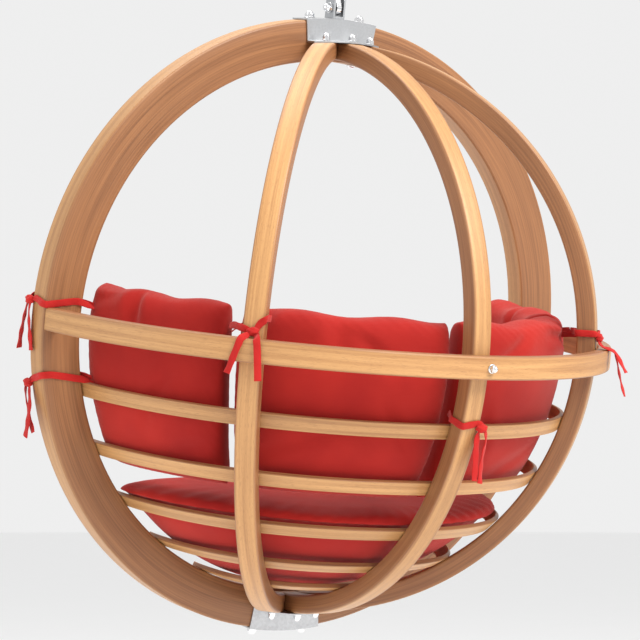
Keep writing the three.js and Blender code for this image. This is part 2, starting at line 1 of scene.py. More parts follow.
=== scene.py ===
# Hanging globe chair: a round laminated-wood front ring with bent back ribs, rail and slats,
# hung from a swivel by steel brackets, with loose red cushions tied on by ribbons.
import json
import math
import bmesh
import bpy
import numpy as np
from mathutils import Vector
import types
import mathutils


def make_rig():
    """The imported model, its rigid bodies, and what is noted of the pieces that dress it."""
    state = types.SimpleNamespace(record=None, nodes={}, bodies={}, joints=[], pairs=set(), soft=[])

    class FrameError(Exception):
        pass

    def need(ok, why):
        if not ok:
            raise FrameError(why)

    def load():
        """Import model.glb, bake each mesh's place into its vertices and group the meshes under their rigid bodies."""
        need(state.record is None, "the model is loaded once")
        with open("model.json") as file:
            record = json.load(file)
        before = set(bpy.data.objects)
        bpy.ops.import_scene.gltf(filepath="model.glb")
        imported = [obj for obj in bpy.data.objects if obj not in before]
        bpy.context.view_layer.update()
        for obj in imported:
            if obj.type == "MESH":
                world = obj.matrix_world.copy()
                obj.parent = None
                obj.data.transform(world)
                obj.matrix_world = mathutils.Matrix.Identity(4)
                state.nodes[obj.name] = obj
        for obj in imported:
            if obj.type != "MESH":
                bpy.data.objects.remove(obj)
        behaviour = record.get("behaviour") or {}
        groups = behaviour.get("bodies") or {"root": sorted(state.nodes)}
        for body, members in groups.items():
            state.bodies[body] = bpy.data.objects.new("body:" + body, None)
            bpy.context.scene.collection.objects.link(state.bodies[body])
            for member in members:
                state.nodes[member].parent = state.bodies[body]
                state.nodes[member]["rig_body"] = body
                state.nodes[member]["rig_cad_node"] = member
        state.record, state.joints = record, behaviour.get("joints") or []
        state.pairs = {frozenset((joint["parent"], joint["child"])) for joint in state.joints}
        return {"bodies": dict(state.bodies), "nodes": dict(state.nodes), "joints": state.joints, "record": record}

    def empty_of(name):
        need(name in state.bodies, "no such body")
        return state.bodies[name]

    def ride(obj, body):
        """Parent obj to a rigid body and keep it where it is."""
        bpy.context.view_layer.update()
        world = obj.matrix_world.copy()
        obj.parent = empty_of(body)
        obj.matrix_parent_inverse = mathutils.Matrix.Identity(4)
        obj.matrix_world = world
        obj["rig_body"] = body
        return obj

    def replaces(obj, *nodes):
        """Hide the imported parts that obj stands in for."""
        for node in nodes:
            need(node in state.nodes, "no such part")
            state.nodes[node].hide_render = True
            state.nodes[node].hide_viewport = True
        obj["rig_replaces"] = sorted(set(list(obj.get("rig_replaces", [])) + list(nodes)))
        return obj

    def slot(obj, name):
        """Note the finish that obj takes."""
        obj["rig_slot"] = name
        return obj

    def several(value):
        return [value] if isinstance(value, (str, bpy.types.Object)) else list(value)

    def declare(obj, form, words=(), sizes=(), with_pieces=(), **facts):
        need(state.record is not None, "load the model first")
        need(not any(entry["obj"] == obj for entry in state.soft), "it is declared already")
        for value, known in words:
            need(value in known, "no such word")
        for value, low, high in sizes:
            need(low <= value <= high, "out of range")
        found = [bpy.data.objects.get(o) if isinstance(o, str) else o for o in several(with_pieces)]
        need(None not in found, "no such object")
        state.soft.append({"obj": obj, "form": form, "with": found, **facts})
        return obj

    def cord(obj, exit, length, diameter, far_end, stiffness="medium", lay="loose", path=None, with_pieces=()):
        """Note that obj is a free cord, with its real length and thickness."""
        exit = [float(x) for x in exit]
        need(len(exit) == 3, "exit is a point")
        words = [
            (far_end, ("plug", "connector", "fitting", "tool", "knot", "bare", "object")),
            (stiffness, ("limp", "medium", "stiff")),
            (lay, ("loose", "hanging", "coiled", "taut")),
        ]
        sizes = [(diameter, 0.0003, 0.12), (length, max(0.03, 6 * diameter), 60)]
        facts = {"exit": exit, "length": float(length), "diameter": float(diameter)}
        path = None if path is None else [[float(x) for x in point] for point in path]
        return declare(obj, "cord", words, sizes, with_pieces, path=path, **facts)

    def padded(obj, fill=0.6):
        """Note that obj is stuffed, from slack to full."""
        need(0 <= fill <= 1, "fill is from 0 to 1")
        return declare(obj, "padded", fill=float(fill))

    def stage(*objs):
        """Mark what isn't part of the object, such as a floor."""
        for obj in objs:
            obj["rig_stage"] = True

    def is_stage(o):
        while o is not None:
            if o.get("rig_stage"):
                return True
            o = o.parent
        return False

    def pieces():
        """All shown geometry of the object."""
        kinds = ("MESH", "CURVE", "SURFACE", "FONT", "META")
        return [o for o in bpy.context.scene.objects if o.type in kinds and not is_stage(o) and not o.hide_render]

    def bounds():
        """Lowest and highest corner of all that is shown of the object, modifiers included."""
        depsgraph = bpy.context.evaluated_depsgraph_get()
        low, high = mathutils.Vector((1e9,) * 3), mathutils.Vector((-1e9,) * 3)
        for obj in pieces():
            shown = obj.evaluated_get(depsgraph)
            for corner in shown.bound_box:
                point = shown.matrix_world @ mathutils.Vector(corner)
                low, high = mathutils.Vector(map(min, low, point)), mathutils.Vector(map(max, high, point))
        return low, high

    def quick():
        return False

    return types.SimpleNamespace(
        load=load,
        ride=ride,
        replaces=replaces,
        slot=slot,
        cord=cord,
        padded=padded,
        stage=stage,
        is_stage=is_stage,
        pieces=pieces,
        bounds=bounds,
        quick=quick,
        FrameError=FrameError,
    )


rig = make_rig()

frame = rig.load()
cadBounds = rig.bounds()
sceneNow = bpy.context.scene

# The chair's own frame: ring centre at the origin, ring's back face at y = 0. It hangs from the
# rocking joint, leaning back by its hanging angle.
rockJoint = next(j for j in frame["joints"] if j["name"] == "chair_rock")
lean = math.radians(9.6)
chairSizes = {
    "ringOuter": 0.590, "ringInner": 0.511, "ringDepth": 0.047,
    "ribOuter": 0.552, "ribThick": 0.036, "ribWidth": 0.039, "ribSide": 0.0086, "ribBack": -0.014,
    "ribAngle": 46.4,
    "railOuter": 0.587, "railThick": 0.0258, "railHigh": 0.042, "railCentre": -0.0176, "railMiddle": -0.0009,
    "slatThick": 0.009, "slatHigh": 0.028, "slatFirst": -14.5, "slatStep": -13.25, "slatCount": 5,
    "slatEnd": -0.040, "gap": 0.0003,
    "pivotY": -0.0235, "pivotZ": 0.6136, "cushionRadius": 0.497,
}


# World place of points in the chair's frame: moved so that the rocking axis is at the joint, then
# turned about X by the lean
def toWorld(points):
    points = np.asarray(points, float)
    y = points[..., 1] - chairSizes["pivotY"]
    z = points[..., 2] - chairSizes["pivotZ"]
    c, s = math.cos(lean), math.sin(lean)
    placed = np.stack([points[..., 0], y * c + z * s, z * c - y * s], -1)
    return placed + np.array(rockJoint["pos_m"])


# Each vector divided by its own length
def unit(vectors):
    return vectors / np.maximum(np.linalg.norm(vectors, axis=-1, keepdims=True), 1e-12)


# Camera, lights and floor

viewSettings = {"azimuth": 145.4, "elevation": -2.98, "distance": 5.5, "lens": 162.5,
                "aim": (0.0255, -0.015, -0.707)}


# The unit vector towards a place seen at an azimuth and elevation, azimuth 0 being straight in front
def viewDirection(azimuth, elevation):
    a, e = math.radians(azimuth), math.radians(elevation)
    return np.array([math.sin(a) * math.cos(e), -math.cos(a) * math.cos(e), math.sin(e)])


# Turns an object so that its -Z looks along a direction with +Z up in the picture
def lookAlong(obj, direction):
    obj.rotation_euler = Vector(direction).to_track_quat("-Z", "Y").to_euler()


# The camera stands back from its aim along the view direction and looks the opposite way
def makeCamera():
    toCamera = viewDirection(viewSettings["azimuth"], viewSettings["elevation"])
    camera = bpy.data.objects.new("camera", bpy.data.cameras.new("camera"))
    camera.data.lens = viewSettings["lens"]
    camera.data.sensor_width = 36
    camera.data.clip_end = 60
    camera.location = np.array(viewSettings["aim"]) + toCamera * viewSettings["distance"]
    lookAlong(camera, -toCamera)
    sceneNow.collection.objects.link(camera)
    sceneNow.camera = camera


makeCamera()
print("camera placed")


# Mesh making

# Builds a mesh object at the origin from points in the chair's frame and faces, with a UV per corner
# and named values per point. It rides on a body and may stand for CAD nodes.
def makePiece(name, points, faces, material, body="chair", slot=None, nodes=(), uv=None, values=None,
              smoothAngle=38.0, inWorld=False):
    points = points if inWorld else toWorld(points)
    mesh = bpy.data.meshes.new(name)
    mesh.from_pydata(np.asarray(points, float).tolist(), [], [list(map(int, f)) for f in faces])
    if uv is not None:
        layer = mesh.uv_layers.new(name="grain")
        layer.data.foreach_set("uv", np.asarray(uv, np.float32).ravel())
    for key, numbers in (values or {}).items():
        attribute = mesh.attributes.new(key, "FLOAT", "POINT")
        attribute.data.foreach_set("value", np.asarray(numbers, np.float32).ravel())
    mesh.materials.append(material)
    mesh.polygons.foreach_set("use_smooth", np.ones(len(mesh.polygons), bool))
    mesh.set_sharp_from_angle(angle=math.radians(smoothAngle))
    mesh.update()
    obj = bpy.data.objects.new(name, mesh)
    sceneNow.collection.objects.link(obj)
    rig.ride(obj, body)
    if nodes:
        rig.replaces(obj, *nodes)
    if slot:
        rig.slot(obj, slot)
    return obj


# Quads between the rows of a grid, row major: point (i, j) is i * across + j. A wrapped direction
# joins its last line to its first.
def gridFaces(rows, across, wrapRows=False, wrapAcross=False):
    i, j = np.meshgrid(np.arange(rows if wrapRows else rows - 1),
                       np.arange(across if wrapAcross else across - 1), indexing="ij")
    i, j = i.ravel(), j.ravel()
    nextI, nextJ = (i + 1) % rows, (j + 1) % across
    faces = np.stack([i * across + j, nextI * across + j, nextI * across + nextJ, i * across + nextJ], 1)
    corners = np.stack([np.stack([i, j], 1), np.stack([i + 1, j], 1),
                        np.stack([i + 1, j + 1], 1), np.stack([i, j + 1], 1)], 1)
    return faces, corners


# A rounded rectangle as points (a, b) anticlockwise, each with its distance round the edge and how
# far it belongs to the b faces (1) rather than the a faces (0)
def roundedSection(width, height, radius, cornerPoints=5, facePoints=3):
    points, side = [], []
    corners = [(1, 1, 0), (-1, 1, 90), (-1, -1, 180), (1, -1, 270)]
    for index, (sx, sy, start) in enumerate(corners):
        turn = np.radians(np.linspace(start, start + 90, cornerPoints))
        centre = np.array([sx * (width / 2 - radius), sy * (height / 2 - radius)])
        arc = centre + radius * np.stack([np.cos(turn), np.sin(turn)], 1)
        points.append(arc)
        side.append(np.abs(np.sin(turn)))
        nx, ny, nextStart = corners[(index + 1) % 4]
        following = np.array([nx * (width / 2 - radius), ny * (height / 2 - radius)]) + radius * np.array(
            [math.cos(math.radians(nextStart)), math.sin(math.radians(nextStart))])
        steps = np.linspace(0, 1, facePoints + 2)[1:-1, None]
        points.append(arc[-1] + (following - arc[-1]) * steps)
        side.append(np.full(facePoints, round(abs(math.sin(turn[-1])))))
    points = np.concatenate(points)
    lengths = np.linalg.norm(np.roll(points, -1, 0) - points, axis=1)
    return points, np.concatenate([[0], np.cumsum(lengths)]), np.concatenate(side)


# Carries a section along a path: point = path + a * axisA + b * axisB for each path point and each
# section point. The grain map is (distance along the path, distance round the section).
def sweep(path, axisA, axisB, section, around, closed=False):
    rows, across = len(path), len(section)
    points = (path[:, None] + section[None, :, :1] * axisA[:, None] + section[None, :, 1:] * axisB[:, None])
    faces, corners = gridFaces(rows, across, wrapRows=closed, wrapAcross=True)
    step = np.linalg.norm(np.roll(path, -1, 0) - path, axis=1)
    along = np.concatenate([[0], np.cumsum(step)])
    uv = np.stack([along[corners[..., 0]], around[corners[..., 1]]], -1)
    faces, uv = list(faces), list(uv.reshape(-1, 2))
    if not closed:
        for row, order in ((0, 1), (rows - 1, -1)):
            cap = (row * across + np.arange(across))[::order]
            faces.append(cap)
            uv.extend(section[::order] + np.array([along[row] * 0.2, 0.5]))
    return points.reshape(-1, 3), faces, np.array(uv)


# Turns the faces over where a solid's signed volume is negative
def facingOut(points, faces):
    volume = 0.0
    for size in {len(f) for f in faces}:
        block = points[np.array([f for f in faces if len(f) == size])]
        fan = [np.cross(block[:, k], block[:, k + 1]) for k in range(1, size - 1)]
        volume += sum(float((block[:, 0] * normal).sum()) for normal in fan)
    return volume > 0


# Materials

# Makes a material and a small helper that adds nodes by type with their inputs
def startMaterial(name):
    material = bpy.data.materials.new(name)
    material.use_nodes = True
    tree = material.node_tree
    shader = tree.nodes["Principled BSDF"]

    def add(kind, inputs=(), **settings):
        node = tree.nodes.new(kind)
        for key, value in settings.items():
            setattr(node, key, value)
        for key, value in dict(inputs).items():
            if isinstance(value, bpy.types.NodeSocket):
                tree.links.new(value, node.inputs[key])
            else:
                node.inputs[key].default_value = value
        return node

    def ramp(factor, stops):
        node = add("ShaderNodeValToRGB", {"Fac": factor})
        elements = node.color_ramp.elements
        elements[0].position, elements[0].color = stops[0][0], (*stops[0][1], 1)
        elements[1].position, elements[1].color = stops[-1][0], (*stops[-1][1], 1)
        for position, color in stops[1:-1]:
            elements.new(position).color = (*color, 1)
        return node.outputs["Color"]

    def mix(factor, first, second, blend="MIX"):
        node = add("ShaderNodeMix", data_type="RGBA", blend_type=blend)
        for socket, value in ((node.inputs[0], factor), (node.inputs[6], first), (node.inputs[7], second)):
            if isinstance(value, bpy.types.NodeSocket):
                tree.links.new(value, socket)
            else:
                socket.default_value = (*value, 1) if isinstance(value, tuple) else value
        return node.outputs[2]

    def maths(operation, first, second=0.0, third=0.0, clamp=False):
        node = add("ShaderNodeMath", {0: first, 1: second, 2: third}, operation=operation, use_clamp=clamp)
        return node.outputs[0]

    def noise(vector, scale, detail=4.0, roughness=0.55, distortion=0.0):
        return add("ShaderNodeTexNoise", {"Vector": vector, "Scale": scale, "Detail": detail,
                                          "Roughness": roughness, "Distortion": distortion}).outputs["Fac"]

    def bump(height, strength, distance):
        inputs = {"Height": height, "Strength": strength, "Distance": distance}
        return add("ShaderNodeBump", inputs).outputs[0]

    def finish(**sockets):
        for key, value in sockets.items():
            socket = shader.inputs[key.replace("_", " ")]
            if isinstance(value, bpy.types.NodeSocket):
                tree.links.new(value, socket)
            else:
                socket.default_value = (*value, 1) if isinstance(value, tuple) else value
        return material

    return add, ramp, mix, maths, noise, bump, finish


woodSettings = {"light": (0.56, 0.305, 0.118), "middle": (0.45, 0.225, 0.078), "dark": (0.29, 0.125, 0.040),
                "edgeLight": (0.37, 0.165, 0.062), "edgeDark": (0.19, 0.075, 0.026),
                "pore": (0.20, 0.08, 0.027),
                "layer": 0.0042, "roughness": 0.46}


# Wood with its grain along the piece: long thin noise streaks, wide soft bands, short dark pores,
# and darker glued layers on the faces that show the lamination
def makeWood(name, tint):
    add, ramp, mix, maths, noise, bump, finish = startMaterial(name)
    w = woodSettings
    grain = add("ShaderNodeUVMap", uv_map="grain").outputs["UV"]
    tone = add("ShaderNodeAttribute", attribute_name="tone").outputs["Fac"]
    side = add("ShaderNodeAttribute", attribute_name="side").outputs["Fac"]
    layer = add("ShaderNodeAttribute", attribute_name="layer").outputs["Fac"]
    parts = add("ShaderNodeSeparateXYZ", {"Vector": grain})
    own = maths("MULTIPLY", tone, 7.3)
    place = add("ShaderNodeCombineXYZ", {"X": parts.outputs[0], "Y": parts.outputs[1], "Z": own}).outputs[0]

    def stretched(x, y):
        return add("ShaderNodeMapping", {"Vector": place, "Scale": (x, y, 1.0)}).outputs[0]

    bands = noise(stretched(1.3, 34), 1.0, 3.0, 0.5, 1.2)
    streaks = noise(stretched(4.5, 330), 1.0, 5.0, 0.62, 0.4)
    pores = noise(stretched(70, 1500), 1.0, 2.0, 0.5)
    patches = noise(stretched(5, 9), 1.0, 2.0, 0.5)
    wave = add("ShaderNodeTexWave", {"Vector": stretched(0.5, 12), "Scale": 1.4, "Distortion": 7.0,
                                     "Detail": 2.0, "Detail Scale": 0.7}, bands_direction="Y").outputs["Fac"]
    face = ramp(bands, [(0.3, w["dark"]), (0.5, w["middle"]), (0.68, w["light"])])
    face = mix(0.42, face, ramp(streaks, [(0.32, w["dark"]), (0.55, w["light"])]))
    face = mix(0.22, face, ramp(wave, [(0.1, w["dark"]), (0.6, w["light"])]))
    poreMask = maths("GREATER_THAN", pores, 0.63)
    face = mix(maths("MULTIPLY", poreMask, 0.45), face, w["pore"])
    edge = ramp(streaks, [(0.33, w["edgeDark"]), (0.62, w["edgeLight"])])
    edge = mix(0.35, edge, ramp(bands, [(0.35, w["edgeDark"]), (0.65, w["edgeLight"])]))
    glue = maths("LESS_THAN", maths("FRACT", maths("DIVIDE", layer, w["layer"])), 0.09)
    edge = mix(maths("MULTIPLY", glue, 0.5), edge, w["edgeDark"])
    color = mix(side, face, edge)
    color = mix(maths("MULTIPLY", patches, 0.3), color, tint, "MULTIPLY")
    shade = maths("ADD", maths("MULTIPLY", maths("FRACT", own), 0.16), 0.92)
    color = add("ShaderNodeHueSaturation", {"Color": color, "Value": shade}).outputs[0]
    rough = maths("ADD", maths("MULTIPLY", streaks, 0.22), w["roughness"] - 0.1)
    height = maths("SUBTRACT", streaks, maths("MULTIPLY", poreMask, 0.5))
    return finish(Base_Color=color, Roughness=rough, Normal=bump(height, 0.16, 0.0006),
                  Coat_Weight=0.12, Coat_Roughness=0.35)


clothSettings = {"red": (0.44, 0.017, 0.010), "deep": (0.30, 0.007, 0.005), "thread": 0.0011}


# Plain woven cotton: two crossed waves for the threads, slow noise for fading, and a soft sheen
def makeCloth(name, uvName, red, deep, threadSize, bumpStrength):
    add, ramp, mix, maths, noise, bump, finish = startMaterial(name)
    weave = add("ShaderNodeUVMap", uv_map=uvName).outputs["UV"]
    objectPlace = add("ShaderNodeTexCoord").outputs["Object"]

    def threads(direction):
        return add("ShaderNodeTexWave", {"Vector": weave, "Scale": 0.314 / threadSize, "Distortion": 0.4,
                                         "Detail": 1.0}, bands_direction=direction).outputs["Fac"]

    cross = maths("ADD", threads("X"), threads("Y"))
    fade = noise(objectPlace, 6.0, 3.0, 0.55)
    slub = noise(add("ShaderNodeMapping", {"Vector": weave, "Scale": (22, 260, 1)}).outputs[0], 1.0, 3.0)
    color = mix(ramp(fade, [(0.3, (0, 0, 0)), (0.7, (1, 1, 1))]), red, deep)
    color = mix(maths("MULTIPLY", maths("SUBTRACT", 1.2, cross, clamp=True), 0.35), color, deep)
    color = mix(maths("MULTIPLY", slub, 0.2), color, deep)
    soft = noise(objectPlace, 55.0, 4.0, 0.6)
    height = maths("ADD", maths("MULTIPLY", cross, 0.35), maths("MULTIPLY", soft, 1.2))
    rough = maths("ADD", maths("MULTIPLY", slub, 0.1), 0.78)
    return finish(Base_Color=color, Roughness=rough, Normal=bump(height, bumpStrength, 0.0011),
                  Sheen_Weight=0.22, Sheen_Roughness=0.4, Sheen_Tint=(1.0, 0.55, 0.5),
                  Specular_IOR_Level=0.25)


# Bare or plated metal: fine noise in roughness and height, and a faint spangle of crystals
def makeMetal(name, color, roughness, spangle, scratch):
    add, ramp, mix, maths, noise, bump, finish = startMaterial(name)
    place = add("ShaderNodeTexCoord").outputs["Object"]
    crystals = add("ShaderNodeTexVoronoi", {"Vector": place, "Scale": 260.0}).outputs["Color"]
    grey = add("ShaderNodeRGBToBW", {"Color": crystals}).outputs[0]
    fine = noise(add("ShaderNodeMapping", {"Vector": place, "Scale": (30, 400, 30)}).outputs[0], 1.0, 4.0)
    smudge = noise(place, 24.0, 3.0)
    dull = tuple(c * 0.72 for c in color)
    tone = mix(maths("MULTIPLY", grey, spangle), color, dull)
    tone = mix(maths("MULTIPLY", smudge, 0.25), tone, dull)
    rough = maths("ADD", maths("ADD", maths("MULTIPLY", grey, spangle * 0.2), maths("MULTIPLY", smudge, 0.1)),
                  roughness - 0.05)
    return finish(Base_Color=tone, Metallic=1.0, Roughness=rough, Normal=bump(fine, scratch, 0.0002))


# Black moulded plastic with a fine grain
def makeBush():
    add, ramp, mix, maths, noise, bump, finish = startMaterial("blackBush")
    place = add("ShaderNodeTexCoord").outputs["Object"]
    grain = noise(place, 900.0, 3.0)
    return finish(Base_Color=mix(maths("MULTIPLY", grain, 0.5), (0.018, 0.018, 0.019), (0.04, 0.04, 0.042)),
                  Roughness=maths("ADD", maths("MULTIPLY", grain, 0.2), 0.45),
                  Normal=bump(grain, 0.2, 0.0002))


wood = makeWood("laminatedWood", (0.86, 0.74, 0.62))
railWood = makeWood("railWood", (0.95, 0.88, 0.78))
cushionCloth = makeCloth("redCloth", "grain", clothSettings["red"], clothSettings["deep"],
                         clothSettings["thread"], 0.35)
ribbonCloth = makeCloth("redRibbon", "grain", (0.56, 0.018, 0.014), (0.40, 0.010, 0.009), 0.0008, 0.4)
plate = makeMetal("platedSteel", (0.49, 0.50, 0.515), 0.36, 0.5, 0.15)
polished = makeMetal("polishedSteel", (0.80, 0.80, 0.81), 0.13, 0.05, 0.04)
black = makeBush()
print("materials made")


# Ribbon ties, the free cords

# Each tie's two arms as hand-laid routes [out, along, up] at the bent member, in metres: out from its
# centre of curvature, along the way that angles grow, up its length
ties = [
    {
        "name": "tie_ring_upper", "turn": 0.0, "rise": 3.4,
        "at": (0, 0),
        "knot": (0.5955, -0.0475, -0.006),
        "arms": [
            [(0.493, 0.008, -0.001), (0.5, -0.002, 0), (0.507, -0.013, 0.001), (0.5082, -0.028, 0.002),
             (0.5074, -0.045, 0.003), (0.5112, -0.0516, 0.004), (0.525, -0.05, 0.005),
             (0.55, -0.05, 0.006), (0.575, -0.05, 0.005), (0.588, -0.051, 0.003),
             (0.594, -0.052, -0.004), (0.597, -0.054, -0.018), (0.597, -0.058, -0.042),
             (0.596, -0.063, -0.07), (0.593, -0.068, -0.098)],
            [(0.493, 0.013, -0.006), (0.501, 0.008, -0.003), (0.51, 0.004, 0), (0.525, 0.003, 0.002),
             (0.55, 0.003, -0.002), (0.575, 0.003, -0.007), (0.5894, 0.0041, -0.009),
             (0.5946, -0.0033, -0.008), (0.5934, -0.02, -0.004), (0.5934, -0.035, -0.002),
             (0.5955, -0.043, -0.007), (0.597, -0.044, -0.018), (0.596, -0.042, -0.04),
             (0.592, -0.038, -0.068), (0.587, -0.034, -0.098)],
        ],
    },
    {
        "name": "tie_ring_lower", "turn": 0.0, "rise": -11.0,
        "at": (0, 0),
        "knot": (0.5965, -0.048, -0.01),
        "arms": [
            [(0.494, 0.009, -0.01), (0.501, -0.002, -0.008), (0.507, -0.013, -0.006),
             (0.5082, -0.028, -0.004), (0.5078, -0.0449, -0.002), (0.5116, -0.0515, 0),
             (0.525, -0.05, 0), (0.55, -0.05, -0.001), (0.575, -0.05, -0.003), (0.588, -0.051, -0.005),
             (0.595, -0.053, -0.009), (0.599, -0.055, -0.02), (0.601, -0.053, -0.038),
             (0.603, -0.046, -0.058), (0.605, -0.036, -0.08), (0.606, -0.028, -0.1)],
            [(0.494, 0.014, -0.019), (0.502, 0.009, -0.015), (0.511, 0.004, -0.012),
             (0.525, 0.003, -0.008), (0.55, 0.003, 0), (0.575, 0.003, 0.007), (0.5889, 0.0049, 0.009),
             (0.5941, -0.0035, 0.008), (0.5934, -0.02, 0.003), (0.5934, -0.035, -0.002),
             (0.5955, -0.042, -0.009), (0.598, -0.043, -0.02), (0.604, -0.035, -0.044),
             (0.611, -0.03, -0.066), (0.614, -0.034, -0.088), (0.616, -0.041, -0.108)],
        ],
    },
    {
        "name": "tie_rib_left", "turn": 46.4, "rise": 3.3,
        "at": (0.0086, -0.014),
        "knot": (0.5605, 0.002, -0.001),
        "arms": [
            [(0.478, -0.056, 0.003), (0.5, -0.048, 0.005), (0.525, -0.038, 0.006),
             (0.5472, -0.027, 0.005), (0.5582, -0.014, 0.003), (0.559, -0.002, 0),
             (0.566, -0.005, -0.005), (0.5741, -0.009, -0.0088), (0.5816, -0.014, -0.0128),
             (0.583, -0.018, -0.024), (0.5835, -0.024, -0.044), (0.585, -0.03, -0.066),
             (0.586, -0.033, -0.076)],
            [(0.478, -0.05, -0.006), (0.498, -0.038, 0), (0.509, -0.022, 0.008),
             (0.5124, -0.006, 0.015), (0.5118, 0.0102, 0.02), (0.5127, 0.0219, 0.023),
             (0.5231, 0.0244, 0.024), (0.5461, 0.0235, 0.024), (0.5546, 0.0218, 0.022),
             (0.5556, 0.013, 0.015), (0.557, 0.008, 0.007), (0.562, 0.007, -0.003),
             (0.568, 0.009, -0.008), (0.5754, 0.011, -0.0088), (0.5824, 0.013, -0.0128),
             (0.583, 0.016, -0.028), (0.585, 0.02, -0.056), (0.588, 0.024, -0.084)],
        ],
    },
    {
        "name": "tie_rib_middle", "turn": 90.0, "rise": -11.9,
        "at": (0, -0.014),
        "knot": (0.5585, 0.0195, 0.002),
        "arms": [
            [(0.483, -0.002, 0.004), (0.497, -0.01, 0.005), (0.509, -0.018, 0.005),
             (0.517, -0.0226, 0.005), (0.535, -0.0228, 0.0045), (0.5496, -0.0228, 0.004),
             (0.5552, -0.0202, 0.004), (0.5552, -0.008, 0.006), (0.5552, 0.006, 0.0085),
             (0.5562, 0.015, 0.01), (0.559, 0.021, 0.008), (0.562, 0.027, -0.002),
             (0.565, 0.031, -0.018), (0.568, 0.029, -0.038), (0.577, 0.024, -0.066),
             (0.588, 0.021, -0.092)],
            [(0.483, 0.004, -0.004), (0.498, 0.012, -0.003), (0.51, 0.019, -0.002),
             (0.519, 0.0227, -0.001), (0.535, 0.0229, 0.002), (0.5492, 0.0232, 0.003),
             (0.5567, 0.0184, -0.001), (0.561, 0.013, -0.014), (0.567, 0.012, -0.036),
             (0.577, 0.011, -0.064), (0.586, 0.009, -0.088)],
        ],
    },
    {
        "name": "tie_rib_right", "turn": 133.6, "rise": 5.0,
        "at": (-0.0086, -0.014),
        "knot": (0.5585, -0.0105, -0.007),
        "arms": [
            [(0.478, 0.054, 0.002), (0.498, 0.038, 0.002), (0.509, 0.022, 0.002),
             (0.5124, 0.006, 0.002), (0.5118, -0.0101, 0.002), (0.5138, -0.0219, 0.002),
             (0.5234, -0.0246, 0.002), (0.5451, -0.023, 0.001), (0.5541, -0.0212, 0),
             (0.5575, -0.015, -0.004), (0.562, -0.017, -0.018), (0.568, -0.019, -0.023),
             (0.578, -0.022, -0.026), (0.588, -0.025, -0.03), (0.597, -0.027, -0.04),
             (0.604, -0.028, -0.054), (0.613, -0.03, -0.07)],
            [(0.478, 0.05, -0.007), (0.5, 0.038, -0.004), (0.52, 0.027, -0.003),
             (0.54, 0.0237, -0.002), (0.553, 0.0222, -0.001), (0.5568, 0.012, -0.001),
             (0.556, 0, -0.002), (0.559, -0.006, -0.008), (0.562, -0.007, -0.02),
             (0.568, -0.008, -0.0245), (0.578, -0.01, -0.027), (0.586, -0.012, -0.031),
             (0.592, -0.014, -0.042), (0.597, -0.016, -0.066), (0.603, -0.018, -0.092),
             (0.61, -0.02, -0.116)],
        ],
    },
]
ribbonSettings = {"width": 0.013, "thick": 0.0016, "spacing": 0.0025, "knot": (0.0115, 0.0085, 0.0075)}
memberCore = {"ring": (0.5505, -0.0235, 0.030, 0.014), "rib": (0.534, 0.0, 0.009, 0.0105)}


# A member's own frame at a tie: rows are the out, along and up directions
def memberAxes(tie):
    a, r = math.radians(tie["turn"]), math.radians(tie["rise"])
    flat = np.array([math.cos(a), math.sin(a), 0.0])
    along = np.array([-math.sin(a), math.cos(a), 0.0])
    up = np.array([0.0, 0.0, 1.0])
    return np.stack([flat * math.cos(r) + up * math.sin(r), along, up * math.cos(r) - flat * math.sin(r)])


# Smooth line through hand-laid points, cubic between them with slopes from the neighbours, spaced
# by the square root of the distance, then evened out to equal steps
def smoothLine(points, spacing):
    points = np.asarray(points, float)
    ends = np.concatenate([2 * points[:1] - points[1:2], points, 2 * points[-1:] - points[-2:-1]])
    gaps = np.sqrt(np.linalg.norm(np.diff(ends, axis=0), axis=1))[:, None]
    before, here, after = gaps[:-2], gaps[1:-1], gaps[2:]
    p0, p1, p2, p3 = ends[:-3], ends[1:-2], ends[2:-1], ends[3:]
    slope1 = ((p1 - p0) / before - (p2 - p0) / (before + here) + (p2 - p1) / here) * here
    slope2 = ((p2 - p1) / here - (p3 - p1) / (here + after) + (p3 - p2) / after) * here
    t = np.linspace(0, 1, 24, endpoint=False)[None, :, None]
    p1, p2, slope1, slope2 = (v[:, None] for v in (p1, p2, slope1, slope2))
    line = (p1 + slope1 * t + (3 * (p2 - p1) - 2 * slope1 - slope2) * t ** 2
            + (2 * (p1 - p2) + slope1 + slope2) * t ** 3).reshape(-1, 3)
    line = np.concatenate([line, points[-1:]])
    far = np.concatenate([[0], np.cumsum(np.linalg.norm(np.diff(line, axis=0), axis=1))])
    even = np.linspace(0, far[-1], max(int(far[-1] / spacing), 12) + 1)
    return np.stack([np.interp(even, far, line[:, k]) for k in range(3)], 1), even


